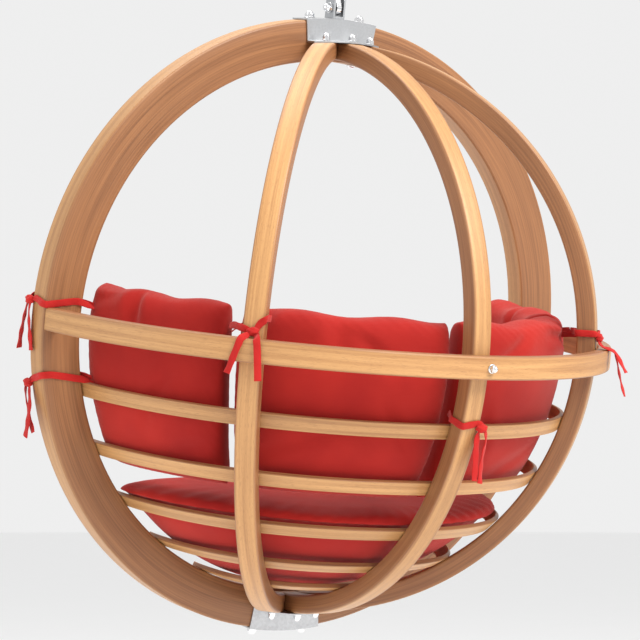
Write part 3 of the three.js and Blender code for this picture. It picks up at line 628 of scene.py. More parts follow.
# One arm: a flat ribbon, facing away from the member's core, drawn in at the stitch and the knot,
# with slightly curled edges
def ribbonArm(tie, index, material):
    line, along = smoothLine(tie["arms"][index], ribbonSettings["spacing"])
    coreX, coreY, halfX, halfY = memberCore["ring" if "ring" in tie["name"] else "rib"]
    nearest = np.stack([np.clip(line[:, 0], coreX - halfX, coreX + halfX),
                        np.clip(line[:, 1], coreY - halfY, coreY + halfY), line[:, 2]], 1)
    tangent = unit(np.gradient(line, axis=0))
    facing = line - nearest
    facing = unit(facing - (facing * tangent).sum(1, keepdims=True) * tangent)
    smooth = np.ones(9) / 9
    padded = np.pad(facing, ((4, 4), (0, 0)), mode="edge")
    facing = np.stack([np.convolve(padded[:, k], smooth, "valid") for k in range(3)], 1)
    facing = unit(facing - (facing * tangent).sum(1, keepdims=True) * tangent)
    across = np.cross(tangent, facing)
    knotAt = along[np.argmin(np.linalg.norm(line - np.array(tie["knot"]), axis=1))]
    drawn = 1 - 0.5 * np.exp(-((along - knotAt) / 0.010) ** 2) - 0.25 * np.exp(-(along / 0.012) ** 2)
    section, around, _ = roundedSection(ribbonSettings["width"], ribbonSettings["thick"], 0.0006, 3, 5)
    curl = 0.9 * section[:, 0] ** 2 / (ribbonSettings["width"] / 2) ** 2 * 0.0009
    wave = 0.0007 * np.sin(along * 210 + index * 2 + tie["rise"])
    points = (line[:, None] + section[None, :, :1] * drawn[:, None, None] * across[:, None]
              + (section[:, 1] - curl)[None, :, None] * facing[:, None]
              + (wave[:, None] * section[None, :, 0] / 0.0065)[..., None] * facing[:, None])
    rows, count = len(line), len(section)
    faces, corners = gridFaces(rows, count, wrapAcross=True)
    uv = np.stack([around[corners[..., 1]], along[corners[..., 0]]], -1).reshape(-1, 2)
    faces = list(faces) + [np.arange(count), ((rows - 1) * count + np.arange(count))[::-1]]
    uv = np.concatenate([uv, section, section[::-1]])
    axes = memberAxes(tie)
    place = np.array([*tie["at"], 0.0])
    points = points.reshape(-1, 3) @ axes + place
    if not facingOut(points, faces):
        faces, uv = turnFaces(faces, uv)
    name = f"{tie['name']}_ribbon_{index + 1}"
    obj = makePiece(name, points, faces, material, slot="red_ribbon", nodes=[f"{tie['name']}_{index + 1}"],
                    uv=uv)
    return obj, toWorld(line @ axes + place), float(along[-1])


# Reverses each face and its corners' map
def turnFaces(faces, uv):
    ends = np.cumsum([len(f) for f in faces])
    turned = [uv[end - len(f):end][::-1] for f, end in zip(faces, ends)]
    return [f[::-1] for f in faces], np.concatenate(turned)


# The knot: a small rounded lump with crossing folds, radius = 1 + ridges along two leaning spirals
def knotPiece(tie, material):
    v, u = np.meshgrid(np.linspace(0, math.pi, 21), np.linspace(0, 2 * math.pi, 36, endpoint=False),
                       indexing="ij")
    ridges = 1 + 0.10 * np.sin(3 * u + 4 * v) * np.sin(v) + 0.06 * np.sin(2 * u - 7 * v) * np.sin(v)
    sizeX, sizeY, sizeZ = ribbonSettings["knot"]
    points = np.stack([sizeZ * ridges * np.sin(v) * np.cos(u), sizeX * ridges * np.sin(v) * np.sin(u),
                       sizeY * ridges * np.cos(v)], -1).reshape(-1, 3)
    faces, corners = gridFaces(21, 36, wrapAcross=True)
    uv = np.stack([corners[..., 1] / 36 * 0.06, corners[..., 0] / 20 * 0.03], -1).reshape(-1, 2)
    points = (points + np.array(tie["knot"])) @ memberAxes(tie) + np.array([*tie["at"], 0.0])
    if not facingOut(points, list(faces)):
        faces, uv = turnFaces(list(faces), uv)
    obj = makePiece(f"{tie['name']}_knot", points, faces, material, slot="red_ribbon", uv=uv, smoothAngle=80)
    mergeNear(obj)
    return obj


def mergeNear(obj, distance=1e-6):
    work = bmesh.new()
    work.from_mesh(obj.data)
    bmesh.ops.remove_doubles(work, verts=work.verts, dist=distance)
    work.to_mesh(obj.data)
    work.free()
    obj.data.update()


for tie in ties:
    knot = knotPiece(tie, ribbonCloth)
    for index in range(2):
        arm, line, length = ribbonArm(tie, index, ribbonCloth)
        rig.cord(arm, exit=line[0], length=length, diameter=ribbonSettings["width"], far_end="bare",
                stiffness="limp", lay="hanging", path=line, with_pieces=[knot] if index == 0 else [])
print("ribbon ties laid")


# Wood

# Builds one bent wooden piece from a path and its section axes, then holds its points inside limits.
# side is 1 on the faces that show the lamination; layer is the depth through the thickness.
def woodPiece(name, nodes, path, axisA, axisB, width, height, tone, material, radius=0.004, closed=False,
              limit=None, sideFaces="b"):
    section, around, onB = roundedSection(width, height, radius)
    points, faces, uv = sweep(path, axisA, axisB, section, around, closed)
    if limit:
        points = limit(points)
    rows = len(path)
    side = np.tile(onB if sideFaces == "b" else 1 - onB, rows)
    depth = np.tile(section[:, 0] + width, rows)
    if not facingOut(points, faces):
        faces, uv = turnFaces(faces, uv)
    values = {"side": np.clip(side, 0, 1), "layer": depth, "tone": np.full(len(points), tone)}
    return makePiece(name, points, faces, material, slot="laminated_wood", nodes=nodes, uv=uv, values=values)


# Front ring: radius constant in the XZ plane
def frontRing():
    c = chairSizes
    t = np.linspace(0, 2 * math.pi, 180, endpoint=False) + math.pi / 2
    out = np.stack([np.cos(t), 0 * t, np.sin(t)], 1)
    back = np.tile([0.0, 1.0, 0.0], (len(t), 1))
    path = out * (c["ringOuter"] + c["ringInner"]) / 2 - back * c["ringDepth"] / 2
    woodPiece("frontRing", ["front_ring"], path, out, back, c["ringOuter"] - c["ringInner"], c["ringDepth"],
              0.31, wood, radius=0.0045, closed=True)


# Back rib: a half circle in an upright plane, held behind the ring, beside the middle rib and under
# the bracket flanges
def backRib(name, node, angle, side, tone):
    c = chairSizes
    a = math.radians(angle)
    flat = np.array([math.cos(a), math.sin(a), 0.0])
    t = np.linspace(-math.pi / 2, math.pi / 2, 121)
    out = np.cos(t)[:, None] * flat + np.sin(t)[:, None] * np.array([0.0, 0.0, 1.0])
    across = np.tile([math.sin(a), -math.cos(a), 0.0], (len(t), 1))
    path = out * (c["ribOuter"] - c["ribThick"] / 2) + np.array([side, c["ribBack"], 0.0])

    def limit(points):
        x, y, z = points.T
        y = np.maximum(y, 0.0004)
        if side:
            keep = c["ribWidth"] / 2 + 0.0006
            x = np.where(y < 0.2, np.sign(side) * np.maximum(x * np.sign(side), keep), x)
        reach = np.hypot(x, z)
        under = (np.abs(np.arctan2(x, np.abs(z))) < math.radians(12)) & (y < 0.0765)
        scale = np.where(under, np.minimum(1, 0.5487 / reach), 1)
        return np.stack([x * scale, y, z * scale], 1)

    woodPiece(name, [node], path, out, across, c["ribThick"], c["ribWidth"], tone, wood, radius=0.0042,
              limit=limit)


# Mid rail: a half hoop on its edge, outside the ribs
def midRail():
    c = chairSizes
    middle = c["railOuter"] - c["railThick"] / 2
    start = math.asin(-c["railCentre"] / c["railOuter"]) - 0.006
    t = np.linspace(start, math.pi - start, 121)
    out = np.stack([np.cos(t), np.sin(t), 0 * t], 1)
    up = np.tile([0.0, 0.0, 1.0], (len(t), 1))
    path = out * middle + np.array([0.0, c["railCentre"], c["railMiddle"]])

    def limit(points):
        return np.stack([points[:, 0], np.maximum(points[:, 1], 0.0004), points[:, 2]], 1)

    woodPiece("midRail", ["mid_rail"], path, out, up, c["railThick"], c["railHigh"], 0.62, railWood,
              radius=0.0038, limit=limit)


# Seat slat: bent round the inside of ring and ribs; its reach from the rib centre grows from the
# ring to the middle rib as the square of the sine, with a bulge so that the side ribs touch it too
def seatSlat(index, tone):
    c = chairSizes
    elevation = math.radians(c["slatFirst"] + c["slatStep"] * index)
    ribInner = c["ribOuter"] - c["ribThick"]
    height = (ribInner - 0.006) * math.sin(elevation)
    half = c["slatThick"] / 2
    atRing = math.sqrt((c["ringInner"] - 0.001 - half) ** 2 - height ** 2)
    atRib = math.sqrt((ribInner - 0.001 - half) ** 2 - height ** 2)
    a = math.radians(c["ribAngle"])
    sideX, sideY = c["ribSide"] + atRib * math.cos(a), atRib * math.sin(a)
    sideAngle = math.atan2(sideY, sideX)
    bulge = (math.hypot(sideX, sideY) - atRing - math.sin(sideAngle) ** 2 * (atRib - atRing))
    bulge /= math.sin(2 * sideAngle) ** 2
    first = math.asin((c["slatEnd"] - c["ribBack"]) / atRing)
    t = np.linspace(first, math.pi - first, 121)
    free = np.maximum(np.sin(t), 0)
    reach = atRing + (atRib - atRing) * free ** 2 + bulge * (np.sin(2 * t) * (free > 0)) ** 2
    path = np.stack([reach * np.cos(t), c["ribBack"] + reach * np.sin(t), np.full_like(t, height)], 1)
    tangent = unit(np.gradient(path, axis=0))
    up = np.tile([0.0, 0.0, 1.0], (len(t), 1))
    outward = np.cross(tangent, up)
    through = outward * math.cos(elevation) + up * math.sin(elevation)
    across = up * math.cos(elevation) - outward * math.sin(elevation)
    woodPiece(f"seatSlat_{index + 1}", [f"seat_slat_{index + 1}"], path, through, across, c["slatThick"],
              c["slatHigh"], tone, railWood, radius=0.0016)


frontRing()
for name, node, angle, side, tone in (
        ("backRibLeft", "back_rib_left", chairSizes["ribAngle"], chairSizes["ribSide"], 0.12),
        ("backRibMiddle", "back_rib_middle", 90.0, 0.0, 0.47),
        ("backRibRight", "back_rib_right", 180 - chairSizes["ribAngle"], -chairSizes["ribSide"], 0.83)):
    backRib(name, node, angle, side, tone)
midRail()
for index in range(chairSizes["slatCount"]):
    seatSlat(index, 0.05 + 0.19 * index)
print("wood bent")


# Steel fittings

# Carries an axis profile of (radius, height) round an axis from an origin. A profile that starts and
# ends at radius 0 closes at its poles. hexSize flattens rows marked 1 to six sides.
def turnedPoints(profile, origin, axis, sides=48, hexSize=0.0, hexRows=None):
    axis = unit(np.asarray(axis, float))
    helper = np.array([0.0, 1.0, 0.0]) if abs(axis[1]) < 0.9 else np.array([1.0, 0.0, 0.0])
    first = unit(np.cross(helper, axis))
    second = np.cross(axis, first)
    t = np.linspace(0, 2 * math.pi, sides, endpoint=False)
    radius = np.tile(np.array([p[0] for p in profile])[:, None], (1, sides))
    if hexSize:
        flats = hexSize / np.cos((t + math.pi / 6) % (math.pi / 3) - math.pi / 6)
        radius = np.where(np.array(hexRows)[:, None] > 0, np.minimum(radius, flats[None]), radius)
    height = np.array([p[1] for p in profile])
    points = (np.asarray(origin, float) + radius[..., None] * (np.cos(t)[None, :, None] * first
              + np.sin(t)[None, :, None] * second) + height[:, None, None] * axis)
    faces, _ = gridFaces(len(profile), sides, wrapAcross=True)
    return points.reshape(-1, 3), faces


# Joins several closed shells of (points, faces) into one piece
def shellsPiece(name, shells, material, node, body="chair", inWorld=False, slot="polished_steel"):
    points, faces, start = [], [], 0
    for shellPoints, shellFaces in shells:
        shellFaces = np.asarray(shellFaces)
        if not facingOut(shellPoints, list(shellFaces)):
            shellFaces = shellFaces[:, ::-1]
        points.append(shellPoints)
        faces.extend(shellFaces + start)
        start += len(shellPoints)
    obj = makePiece(name, np.concatenate(points), faces, material, body=body, slot=slot, nodes=[node],
                    smoothAngle=32, inWorld=inWorld)
    mergeNear(obj)
    return obj


# Washer, hexagon and dome, seated at the origin
def domeNutShells(size, origin, axis):
    r = size
    washer = [(0, 0), (2.05 * r, 0), (2.1 * r, 0.0002), (2.1 * r, 0.0015), (2.02 * r, 0.0018), (0, 0.0018)]
    nut = [(0, 0.0016), (1.72 * r, 0.0016), (1.85 * r, 0.0021), (1.85 * r, 0.0068), (1.72 * r, 0.0078),
           (1.5 * r, 0.0078)]
    dome = [(1.5 * r * math.cos(a), 0.0078 + 0.0062 * math.sin(a)) for a in np.linspace(0.05, math.pi / 2, 9)]
    dome[-1] = (0, dome[-1][1])
    profile = nut + dome
    rows = [0, 1, 1, 1, 1, 0] + [0] * len(dome)
    return [turnedPoints(washer, origin, axis), turnedPoints(profile, origin, axis, 60, 1.62 * r, rows)]


# Domed bolt head with a hexagon socket, and its shank
def boltShells(r, length, head, headHigh, origin, axis):
    dome = [(head * math.sin(a), headHigh * (1 - math.cos(a)) * 0.9)
            for a in np.linspace(0.42, math.pi / 2, 8)]
    socket = 0.62 * r
    profile = [(0, 0.0030), (socket, 0.0030), (socket * 1.02, dome[0][1] + 0.0003),
               (socket * 1.2, dome[0][1])]
    profile += dome + [(head, headHigh - 0.0001), (head * 0.98, headHigh), (r, headHigh),
                       (r, headHigh + length - 0.001), (r - 0.001, headHigh + length), (0, headHigh + length)]
    rows = [0, 1, 1, 0] + [0] * (len(profile) - 4)
    return [turnedPoints(profile, origin, axis, 48, socket * 0.92, rows)]


# Copies a CAD node's surface, joins its loose triangles, and breaks its edges with a small bevel
def finishedCopy(node, name, material, slot, body="chair", bevel=0.0006):
    mesh = frame["nodes"][node].data.copy()
    mesh.name = name
    obj = bpy.data.objects.new(name, mesh)
    sceneNow.collection.objects.link(obj)
    mergeNear(obj, 2e-5)
    work = bmesh.new()
    work.from_mesh(mesh)
    bmesh.ops.dissolve_limit(work, angle_limit=0.02, verts=work.verts, edges=work.edges)
    work.to_mesh(mesh)
    work.free()
    mesh.materials.clear()
    mesh.materials.append(material)
    mesh.polygons.foreach_set("use_smooth", np.ones(len(mesh.polygons), bool))
    mesh.set_sharp_from_angle(angle=math.radians(30))
    edge = obj.modifiers.new("edge", "BEVEL")
    edge.width, edge.segments, edge.limit_method = bevel, 2, "ANGLE"
    edge.angle_limit = math.radians(35)
    edge.harden_normals = True
    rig.ride(obj, body)
    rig.replaces(obj, node)
    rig.slot(obj, slot)
    return obj


fittings = {"coverTop": 0.5933, "ringBoltX": 0.057, "ringBoltY": -0.0235, "ringBoltR": 0.005,
            "ringHead": 0.009, "ringHeadHigh": 0.006, "ribBoltX": 0.051, "ribBoltSideY": 0.030,
            "ribBoltMiddleY": 0.043, "ribBoltR": 0.004, "ribHead": 0.008, "ribHeadHigh": 0.005,
            "ribSeat": 0.519, "flangeTop": 0.552, "railBolt": 0.004, "lugReach": 0.013, "bush": 0.007}

for node, name in (("top_bracket", "topBracket"), ("bottom_bracket", "bottomBracket"),
                   ("hanging_lug", "hangingLug")):
    finishedCopy(node, name, plate, "plated_steel")
finishedCopy("swivel_body", "swivelBody", polished, "polished_steel", body="swivel", bevel=0.0008)


# Ring bolts: heads inside the ring, domed nuts on the bracket's cover
def ringFastening(where, side):
    f = fittings
    turn = math.asin(f["ringBoltX"] / chairSizes["ringOuter"]) * (1 if side == "left" else -1)
    axis = np.array([math.sin(turn), 0.0, math.cos(turn)])
    if where == "bottom":
        axis = -axis
    base = np.array([0.0, f["ringBoltY"], 0.0])
    low = chairSizes["ringInner"] - chairSizes["gap"] - f["ringHeadHigh"] - 0.001
    length = f["coverTop"] + 0.0085 - low - f["ringHeadHigh"]
    bolt = boltShells(f["ringBoltR"], length, f["ringHead"], f["ringHeadHigh"], base + axis * low, axis)
    nut = domeNutShells(f["ringBoltR"], base + axis * (f["coverTop"] + 0.0003), axis)
    shellsPiece(f"ringBolt_{where}_{side}", bolt, polished, f"ring_bolt_{where}_{side}")
    shellsPiece(f"ringNut_{where}_{side}", nut, polished, f"ring_nut_{where}_{side}")


# Rib bolts: upright, heads inside the ribs, domed nuts on the bracket's flange
def ribFastening(where, side):
    f = fittings
    column = {"left": 1, "middle": 0, "right": -1}[side]
    x = f["ribBoltX"] * column
    y = f["ribBoltSideY"] if column else f["ribBoltMiddleY"]
    sign = 1 if where == "top" else -1
    axis = np.array([0.0, 0.0, float(sign)])
    base = np.array([x, y, 0.0])
    low = f["ribSeat"] - chairSizes["gap"] - f["ribHeadHigh"]
    top = math.sqrt(f["flangeTop"] ** 2 - x ** 2) + 0.0005
    length = top + 0.008 - low - f["ribHeadHigh"]
    bolt = boltShells(f["ribBoltR"], length, f["ribHead"], f["ribHeadHigh"], base + axis * low, axis)
    nut = domeNutShells(f["ribBoltR"], base + axis * (top + 0.0006), axis)
    shellsPiece(f"ribBolt_{where}_{side}", bolt, polished, f"rib_bolt_{where}_{side}")
    shellsPiece(f"ribNut_{where}_{side}", nut, polished, f"rib_nut_{where}_{side}")


# Rail fastenings: along a rib's own outward line
def railFastening(side):
    c = chairSizes
    angle = {"left": c["ribAngle"], "middle": 90.0, "right": 180 - c["ribAngle"]}[side]
    column = {"left": 1, "middle": 0, "right": -1}[side]
    a = math.radians(angle)
    axis = np.array([math.cos(a), math.sin(a), 0.0])
    base = np.array([c["ribSide"] * column, c["ribBack"], c["railMiddle"]])
    ribInner = c["ribOuter"] - c["ribThick"]
    outside = c["railOuter"] + c["railCentre"] - c["ribBack"]
    if side == "middle":
        low = ribInner - 0.0047
        bolt = boltShells(0.004, outside + 0.008 - ribInner, 0.008, 0.004, base + axis * low, axis)
        nut = domeNutShells(0.004, base + axis * (outside + 0.0003), axis)
        shellsPiece("railBolt", bolt, polished, "rail_bolt")
        shellsPiece("railNut", nut, polished, "rail_nut")
        return
    low = ribInner - 0.0039
    shellsPiece(f"railScrew_{side}", boltShells(0.004, 0.054, 0.0075, 0.003, base + axis * low, axis),
                polished, f"rail_screw_{side}")


for where in ("top", "bottom"):
    for side in ("left", "right"):
        ringFastening(where, side)
    for side in ("left", "middle", "right"):
        ribFastening(where, side)
for side in ("left", "middle", "right"):
    railFastening(side)


# Swivel eye: a torus on a turned shank, the cross bolt with its nut, and the bush between the lugs
def hanger():
    neck, body, shank, eye, wire = 0.038, 0.028, 0.012, 0.018, 0.005
    pivot = np.array(rockJoint["pos_m"])
    high = pivot[2] + neck + body
    centre = high + shank + eye
    u, v = np.meshgrid(np.linspace(0, 2 * math.pi, 72, endpoint=False),
                       np.linspace(0, 2 * math.pi, 24, endpoint=False), indexing="ij")
    loop = np.stack([(eye + wire * np.cos(v)) * np.cos(u), wire * np.sin(v),
                     centre + (eye + wire * np.cos(v)) * np.sin(u)], -1).reshape(-1, 3)
    loopFaces, _ = gridFaces(72, 24, wrapRows=True, wrapAcross=True)
    up = np.array([0.0, 0.0, 1.0])
    stem = [(0, high - 0.018), (0.0105, high - 0.018), (0.011, high - 0.0175), (0.011, high - 0.0069),
            (0.0105, high - 0.0064), (wire + 0.001, high - 0.0064), (wire + 0.001, high + shank - 0.002),
            (wire + 0.0005, high + shank), (0, high + shank)]
    shellsPiece("swivelEye", [(loop, loopFaces), turnedPoints(stem, np.zeros(3), up)], polished,
                "swivel_eye", body="hook_eye", inWorld=True)
    f = fittings
    side = np.array([1.0, 0.0, 0.0])
    reach = f["lugReach"]
    bolt = [(0, -reach - 0.0064)] + [(0.0086 * math.sin(a), -reach - 0.0003 - 0.0061 * math.cos(a))
                                     for a in np.linspace(0.3, math.pi / 2, 7)]
    bolt += [(0.0086, -reach - 0.0003), (0.005, -reach - 0.0003), (0.005, reach + 0.007),
             (0.0043, reach + 0.008), (0, reach + 0.008)]
    shellsPiece("crossBolt", [turnedPoints(bolt, pivot, side)], polished, "cross_bolt", inWorld=True)
    shellsPiece("crossNut", domeNutShells(0.005, pivot + side * (reach + 0.0003), side), polished,
                "cross_nut", inWorld=True)
    bush = [(0.0053, -0.0087), (0.0066, -0.0087), (f["bush"], -0.0083), (f["bush"], 0.0083),
            (0.0066, 0.0087), (0.0053, 0.0087), (0.0053, -0.0087)]
    shellsPiece("spacerBush", [turnedPoints(bush, pivot, side)], black, "spacer_bush", inWorld=True,
                slot="black_bush")


hanger()
print("steel fittings made")


# Cushions

cushionSettings = {
    "low": -0.276, "high": 0.080, "thick": 0.084, "seam": 0.034, "shrink": 0.003, "cap": 0.002,
    "blunt": 12.0, "across": 64, "along": 56, "pressure": 4.0,
    "spans": [(-1.7, 38.85), (39.75, 89.55), (90.45, 140.25), (141.15, 181.7)],
}
# Folds of each back cushion: place across and up (0 to 1), direction in degrees, length, width, depth
cushionFolds = [
    [(0.42, 0.97, 96, 0.30, 0.050, 0.024), (0.18, 0.93, 20, 0.22, 0.05, 0.008),
     (0.60, 0.45, 55, 0.30, 0.045, 0.006), (0.75, 0.18, 15, 0.28, 0.045, 0.006)],
    [(0.10, 0.90, 62, 0.22, 0.035, 0.018), (0.45, 0.98, 92, 0.26, 0.06, 0.014),
     (0.62, 0.80, 130, 0.24, 0.04, 0.009), (0.30, 0.30, 24, 0.36, 0.05, 0.007),
     (0.75, 0.40, 118, 0.30, 0.04, 0.006)],
    [(0.30, 0.84, 38, 0.26, 0.045, 0.010), (0.78, 0.90, 172, 0.26, 0.04, 0.018),
     (0.88, 0.97, 100, 0.16, 0.05, 0.015), (0.55, 0.22, 20, 0.34, 0.05, 0.007),
     (0.20, 0.40, 108, 0.26, 0.04, 0.006)],
    [(0.50, 0.96, 88, 0.28, 0.05, 0.020), (0.40, 0.35, 30, 0.3, 0.05, 0.006)],
]


# How deep the folds press at each place: a valley along a line, fading at its ends, with a soft
# ridge on both sides (a Gaussian less its wider self)
def foldDepth(u, v, folds):
    depth = np.zeros_like(u)
    for atU, atV, turn, length, width, deep in folds:
        a = math.radians(turn)
        along = (u - atU) * math.cos(a) + (v - atV) * math.sin(a)
        off = (v - atV) * math.cos(a) - (u - atU) * math.sin(a)
        ends = np.exp(-(along / (length * 0.6)) ** 4)
        depth += deep * ends * (np.exp(-(off / width) ** 2) - 0.55 * np.exp(-(off / (2.2 * width)) ** 2))
    return depth


# A closed pad of two facing grids that share their border: outer and inner give the points for
# arrays u, v. Returns points, faces and the cloth map, which runs in metres.
def padMesh(across, along, outer, inner, width, height):
    v, u = np.meshgrid(np.linspace(0, 1, along), np.linspace(0, 1, across), indexing="ij")
    outerPoints, innerPoints = outer(u, v).reshape(-1, 3), inner(u, v).reshape(-1, 3)
    border = ((u == 0) | (u == 1) | (v == 0) | (v == 1)).ravel()
    ids = np.arange(across * along)
    innerIds = np.where(border, ids, 0)
    innerIds[~border] = across * along + np.arange((~border).sum())
    points = np.concatenate([outerPoints, innerPoints[~border]])
    faces, corners = gridFaces(along, across)
    uv = np.stack([corners[..., 1] / (across - 1) * width, corners[..., 0] / (along - 1) * height], -1)
    allFaces = list(faces[:, ::-1]) + list(innerIds[faces])
    allUv = np.concatenate([uv[:, ::-1].reshape(-1, 2), uv.reshape(-1, 2) + np.array([width * 1.1, 0])])
    edge = np.minimum.reduce([u, 1 - u, v, 1 - v]).ravel()
    values = np.concatenate([edge, edge[~border]])
    return points, allFaces, allUv, values


# Back cushion: a rounded square on the globe, its outer face pressed on ribs and slats, its sides
# drawn in between the corners, and its fill thinning to the seam
def backCushion(index):
    s, c = cushionSettings, chairSizes
    start, end = (math.radians(a) for a in s["spans"][index])
    folds = cushionFolds[index]
    seed = index * 1.7

    def place(u, v, sign):
        a, b = 2 * u - 1, 2 * v - 1
        rounded = 1 - 0.045 * (a * b) ** 2
        drawA = 1 - 0.004 * (1 - b ** 2) - 0.003 * (1 + np.sin(9 * b + seed)) * np.abs(a) ** 6
        drawB = 1 - 0.035 * (1 - a ** 2) - 0.020 * (1 + np.sin(7 * a + seed)) * np.clip(b, 0, 1) ** 4
        angle = (start + end) / 2 + (end - start) / 2 * a * drawA * rounded
        z = (s["low"] + s["high"]) / 2 + (s["high"] - s["low"]) / 2 * b * drawB * rounded
        fill = np.sqrt(np.clip((1 - np.abs(a) ** s["blunt"]) * (1 - np.abs(b) ** s["blunt"]), 0, 1))
        surface = np.sqrt(c["cushionRadius"] ** 2 - z ** 2) - s["shrink"]
        seam = surface - s["seam"]
        outer = seam + s["seam"] * fill
        inner = seam - (s["thick"] - s["seam"]) * fill
        puckers = 0.0022 * np.sin(2 * math.pi * (u + v) * 17 + seed) * np.exp(-np.minimum.reduce(
            [u, 1 - u, v, 1 - v]) * 22)
        press = foldDepth(u, v, folds) * np.minimum(fill * 2.2, 1) + puckers
        reach = outer - press if sign > 0 else inner + press * 0.7
        return np.stack([reach * np.cos(angle), c["ribBack"] + reach * np.sin(angle), z], -1)

    width, height = (end - start) * c["cushionRadius"], s["high"] - s["low"]
    points, faces, uv, edge = padMesh(s["across"], s["along"], lambda u, v: place(u, v, 1),
                                      lambda u, v: place(u, v, -1), width, height)
    return finishCushion(f"backCushion_{index + 1}", f"back_cushion_{index + 1}", points, faces, uv, edge,
                         s["cap"], 0.62)


seatSettings = {"front": -0.042, "reach": 0.398, "top": -0.300, "crown": 0.013, "blunt": 12, "rings": 46,
                "around": 150, "middle": (0.0, 0.150), "puckers": 46, "cap": 0.003}


# Seat cushion: a round-backed pad. Rays from its middle reach the outline, a circle cut off at the
# front; the top crowns gently and the underside follows the globe.
def seatCushion():
    s, c = seatSettings, chairSizes
    t = np.linspace(0, 2 * math.pi, s["around"], endpoint=False)
    dx, dy = np.cos(t), np.sin(t)
    mx, my = s["middle"][0], s["middle"][1] - c["ribBack"]
    dot = mx * dx + my * dy
    toCircle = -dot + np.sqrt(dot ** 2 - mx ** 2 - my ** 2 + s["reach"] ** 2)
    toFront = np.where(dy < -1e-3, (s["front"] - s["middle"][1]) / np.minimum(dy, -1e-3), 9.0)
    sharp = 14.0
    outline = (toCircle ** -sharp + toFront ** -sharp) ** (-1 / sharp)
    rho = np.linspace(0, 1, s["rings"])[:, None]
    x = s["middle"][0] + outline * dx * rho
    y = s["middle"][1] + outline * dy * rho
    pucker = 0.0030 * np.sin(s["puckers"] * t)[None] * np.exp(-(1 - rho) * 9) * rho
    wide = 0.004 * np.sin(5 * t + 0.6)[None] * rho ** 2
    out = np.hypot(x, y - c["ribBack"]) / c["cushionRadius"]
    bowl = -np.sqrt(np.maximum(c["cushionRadius"] ** 2 * (1 - out ** 2), 0))
    seamZ = np.full_like(x, s["top"] - 0.016)
    fill = np.sqrt(np.clip(1 - rho ** s["blunt"], 0, 1))
    top = seamZ + (0.016 + s["crown"] * (1 - out ** 2)) * fill + pucker + wide * fill
    bottom = np.minimum(seamZ, bowl + 0.004) * fill + seamZ * (1 - fill) - pucker * 0.8
    bottom = np.minimum(bottom, top - 0.0005 - 0.01 * fill)
    topPoints = np.stack([x, y, top], -1)
    lowPoints = np.stack([x, y, bottom], -1)
    count = s["rings"] * s["around"]
    faces, corners = gridFaces(s["rings"], s["around"], wrapAcross=True)
    uvGrid = np.stack([x, y], -1)
    uvPad = np.concatenate([uvGrid, uvGrid[:, :1]], 1)
    uv = uvPad[corners[..., 0], corners[..., 1]]
    points = np.concatenate([topPoints.reshape(-1, 3), lowPoints.reshape(-1, 3)])
    points[count + (s["rings"] - 1) * s["around"]:] = points[(s["rings"] - 1) * s["around"]:count]
    allFaces = list(faces) + list(faces[:, ::-1] + count)
    allUv = np.concatenate([uv.reshape(-1, 2), uv[:, ::-1].reshape(-1, 2) + np.array([1.0, 0])])
    edge = np.tile((1 - rho + 0 * x).ravel(), 2)
    return finishCushion("seatCushion", "seat_cushion", points, allFaces, allUv, edge, s["cap"], 0.55)


# Makes the pad, swells it as cloth, smooths it once and sews a corded seam along its border
def finishCushion(name, node, points, faces, uv, edge, cap, fill):
    if not facingOut(points, faces):
        faces, uv = turnFaces(faces, uv)
    obj = makePiece(name, points, faces, cushionCloth, slot="red_cloth", nodes=[node], uv=uv,
                    values={"edge": edge}, smoothAngle=180)
    mergeNear(obj, 1e-5)
    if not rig.quick():
        swell(obj, cap)
    smooth = obj.modifiers.new("smooth", "SUBSURF")
    smooth.levels = smooth.render_levels = 1
    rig.padded(obj, fill=fill)
    return obj


# Cloth under inner pressure without gravity for 20 frames. Each point's move is then shortened to
# cap at most, a small part of what the pressure gives, so this only puffs the pad slightly.
def swell(obj, cap):
    count = len(obj.data.vertices)
    rest = np.empty(count * 3)
    obj.data.vertices.foreach_get("co", rest)
    rest = rest.reshape(-1, 3)
    cloth = obj.modifiers.new("cloth", "CLOTH")
    cloth.settings.quality = 5
    cloth.settings.mass = 0.25
    cloth.settings.tension_stiffness = cloth.settings.compression_stiffness = 18
    cloth.settings.bending_stiffness = 0.4
    cloth.settings.use_pressure = True
    cloth.settings.uniform_pressure_force = cushionSettings["pressure"]
    cloth.settings.effector_weights.gravity = 0
    cloth.point_cache.frame_start, cloth.point_cache.frame_end = 1, 20
    for number in range(1, 21):
        sceneNow.frame_set(number)
    shaped = obj.evaluated_get(bpy.context.evaluated_depsgraph_get())
    moved = np.empty(count * 3)
    shaped.data.vertices.foreach_get("co", moved)
    shift = moved.reshape(-1, 3) - rest
    far = np.linalg.norm(shift, axis=1, keepdims=True)
    shift *= np.minimum(1, cap / np.maximum(far, 1e-9))
    obj.modifiers.remove(cloth)
    obj.data.vertices.foreach_set("co", (rest + shift).ravel())
    obj.data.update()
    sceneNow.frame_set(1)
    print(f"{obj.name} swelled by up to {far.max() * 1000:.0f} mm")


for index in range(4):
    backCushion(index)
seatCushion()
print("cushions made")


# Floor, lights and world

stageSettings = {"floorZ": -1.75, "floorSize": 30.0, "world": 0.86, "key": 210, "fill": 45, "top": 70}


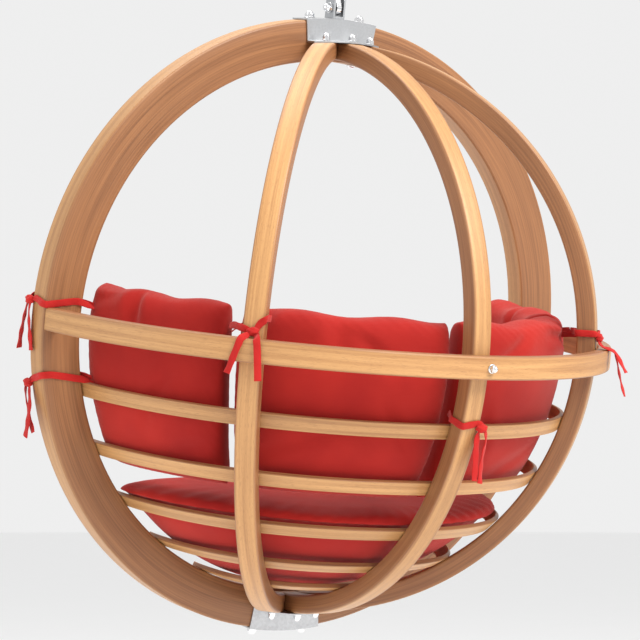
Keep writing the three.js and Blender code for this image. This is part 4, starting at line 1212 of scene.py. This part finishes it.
# Near-white with a faint wide noise
def floorMaterial():
    add, ramp, mix, maths, noise, bump, finish = startMaterial("paleFloor")
    place = add("ShaderNodeTexCoord").outputs["Object"]
    speckle = noise(place, 3.0, 2.0)
    return finish(Base_Color=mix(maths("MULTIPLY", speckle, 0.2), (0.93, 0.93, 0.93), (0.88, 0.88, 0.88)),
                  Roughness=maths("ADD", maths("MULTIPLY", speckle, 0.1), 0.85))


# A plain disc under the chair
def makeFloor():
    s = stageSettings
    t = np.linspace(0, 2 * math.pi, 96, endpoint=False)
    rim = np.stack([np.cos(t) * s["floorSize"], np.sin(t) * s["floorSize"], np.full_like(t, s["floorZ"])], 1)
    mesh = bpy.data.meshes.new("floor")
    mesh.from_pydata(rim.tolist(), [], [list(range(96))])
    mesh.materials.append(floorMaterial())
    floor = bpy.data.objects.new("floor", mesh)
    sceneNow.collection.objects.link(floor)
    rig.stage(floor)


# A square soft light that faces the chair from a side angle and height
def softLight(name, azimuth, elevation, distance, size, power, tint):
    light = bpy.data.objects.new(name, bpy.data.lights.new(name, "AREA"))
    light.data.shape, light.data.size = "SQUARE", size
    light.data.energy, light.data.color = power, tint
    toLight = viewDirection(azimuth, elevation)
    light.location = np.array(viewSettings["aim"]) + toLight * distance
    lookAlong(light, -toLight)
    sceneNow.collection.objects.link(light)


# An even white sky
def makeWorld():
    world = bpy.data.worlds.new("studio")
    world.use_nodes = True
    sky = world.node_tree.nodes["Background"]
    sky.inputs[0].default_value = (1, 1, 1, 1)
    sky.inputs[1].default_value = stageSettings["world"]
    sceneNow.world = world


makeFloor()
softLight("keyLight", 195, 38, 4.2, 2.4, stageSettings["key"], (1.0, 0.98, 0.95))
softLight("fillLight", 85, 15, 4.5, 3.0, stageSettings["fill"], (0.96, 0.98, 1.0))
softLight("topLight", 20, 75, 3.6, 2.5, stageSettings["top"], (1, 1, 1))
makeWorld()
sceneNow.view_settings.view_transform = "Standard"
print("studio lit")

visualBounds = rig.bounds()
with open("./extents.json", "w") as sizeFile:
    json.dump({"cad": [list(corner) for corner in cadBounds],
               "visual": [list(corner) for corner in visualBounds]}, sizeFile)
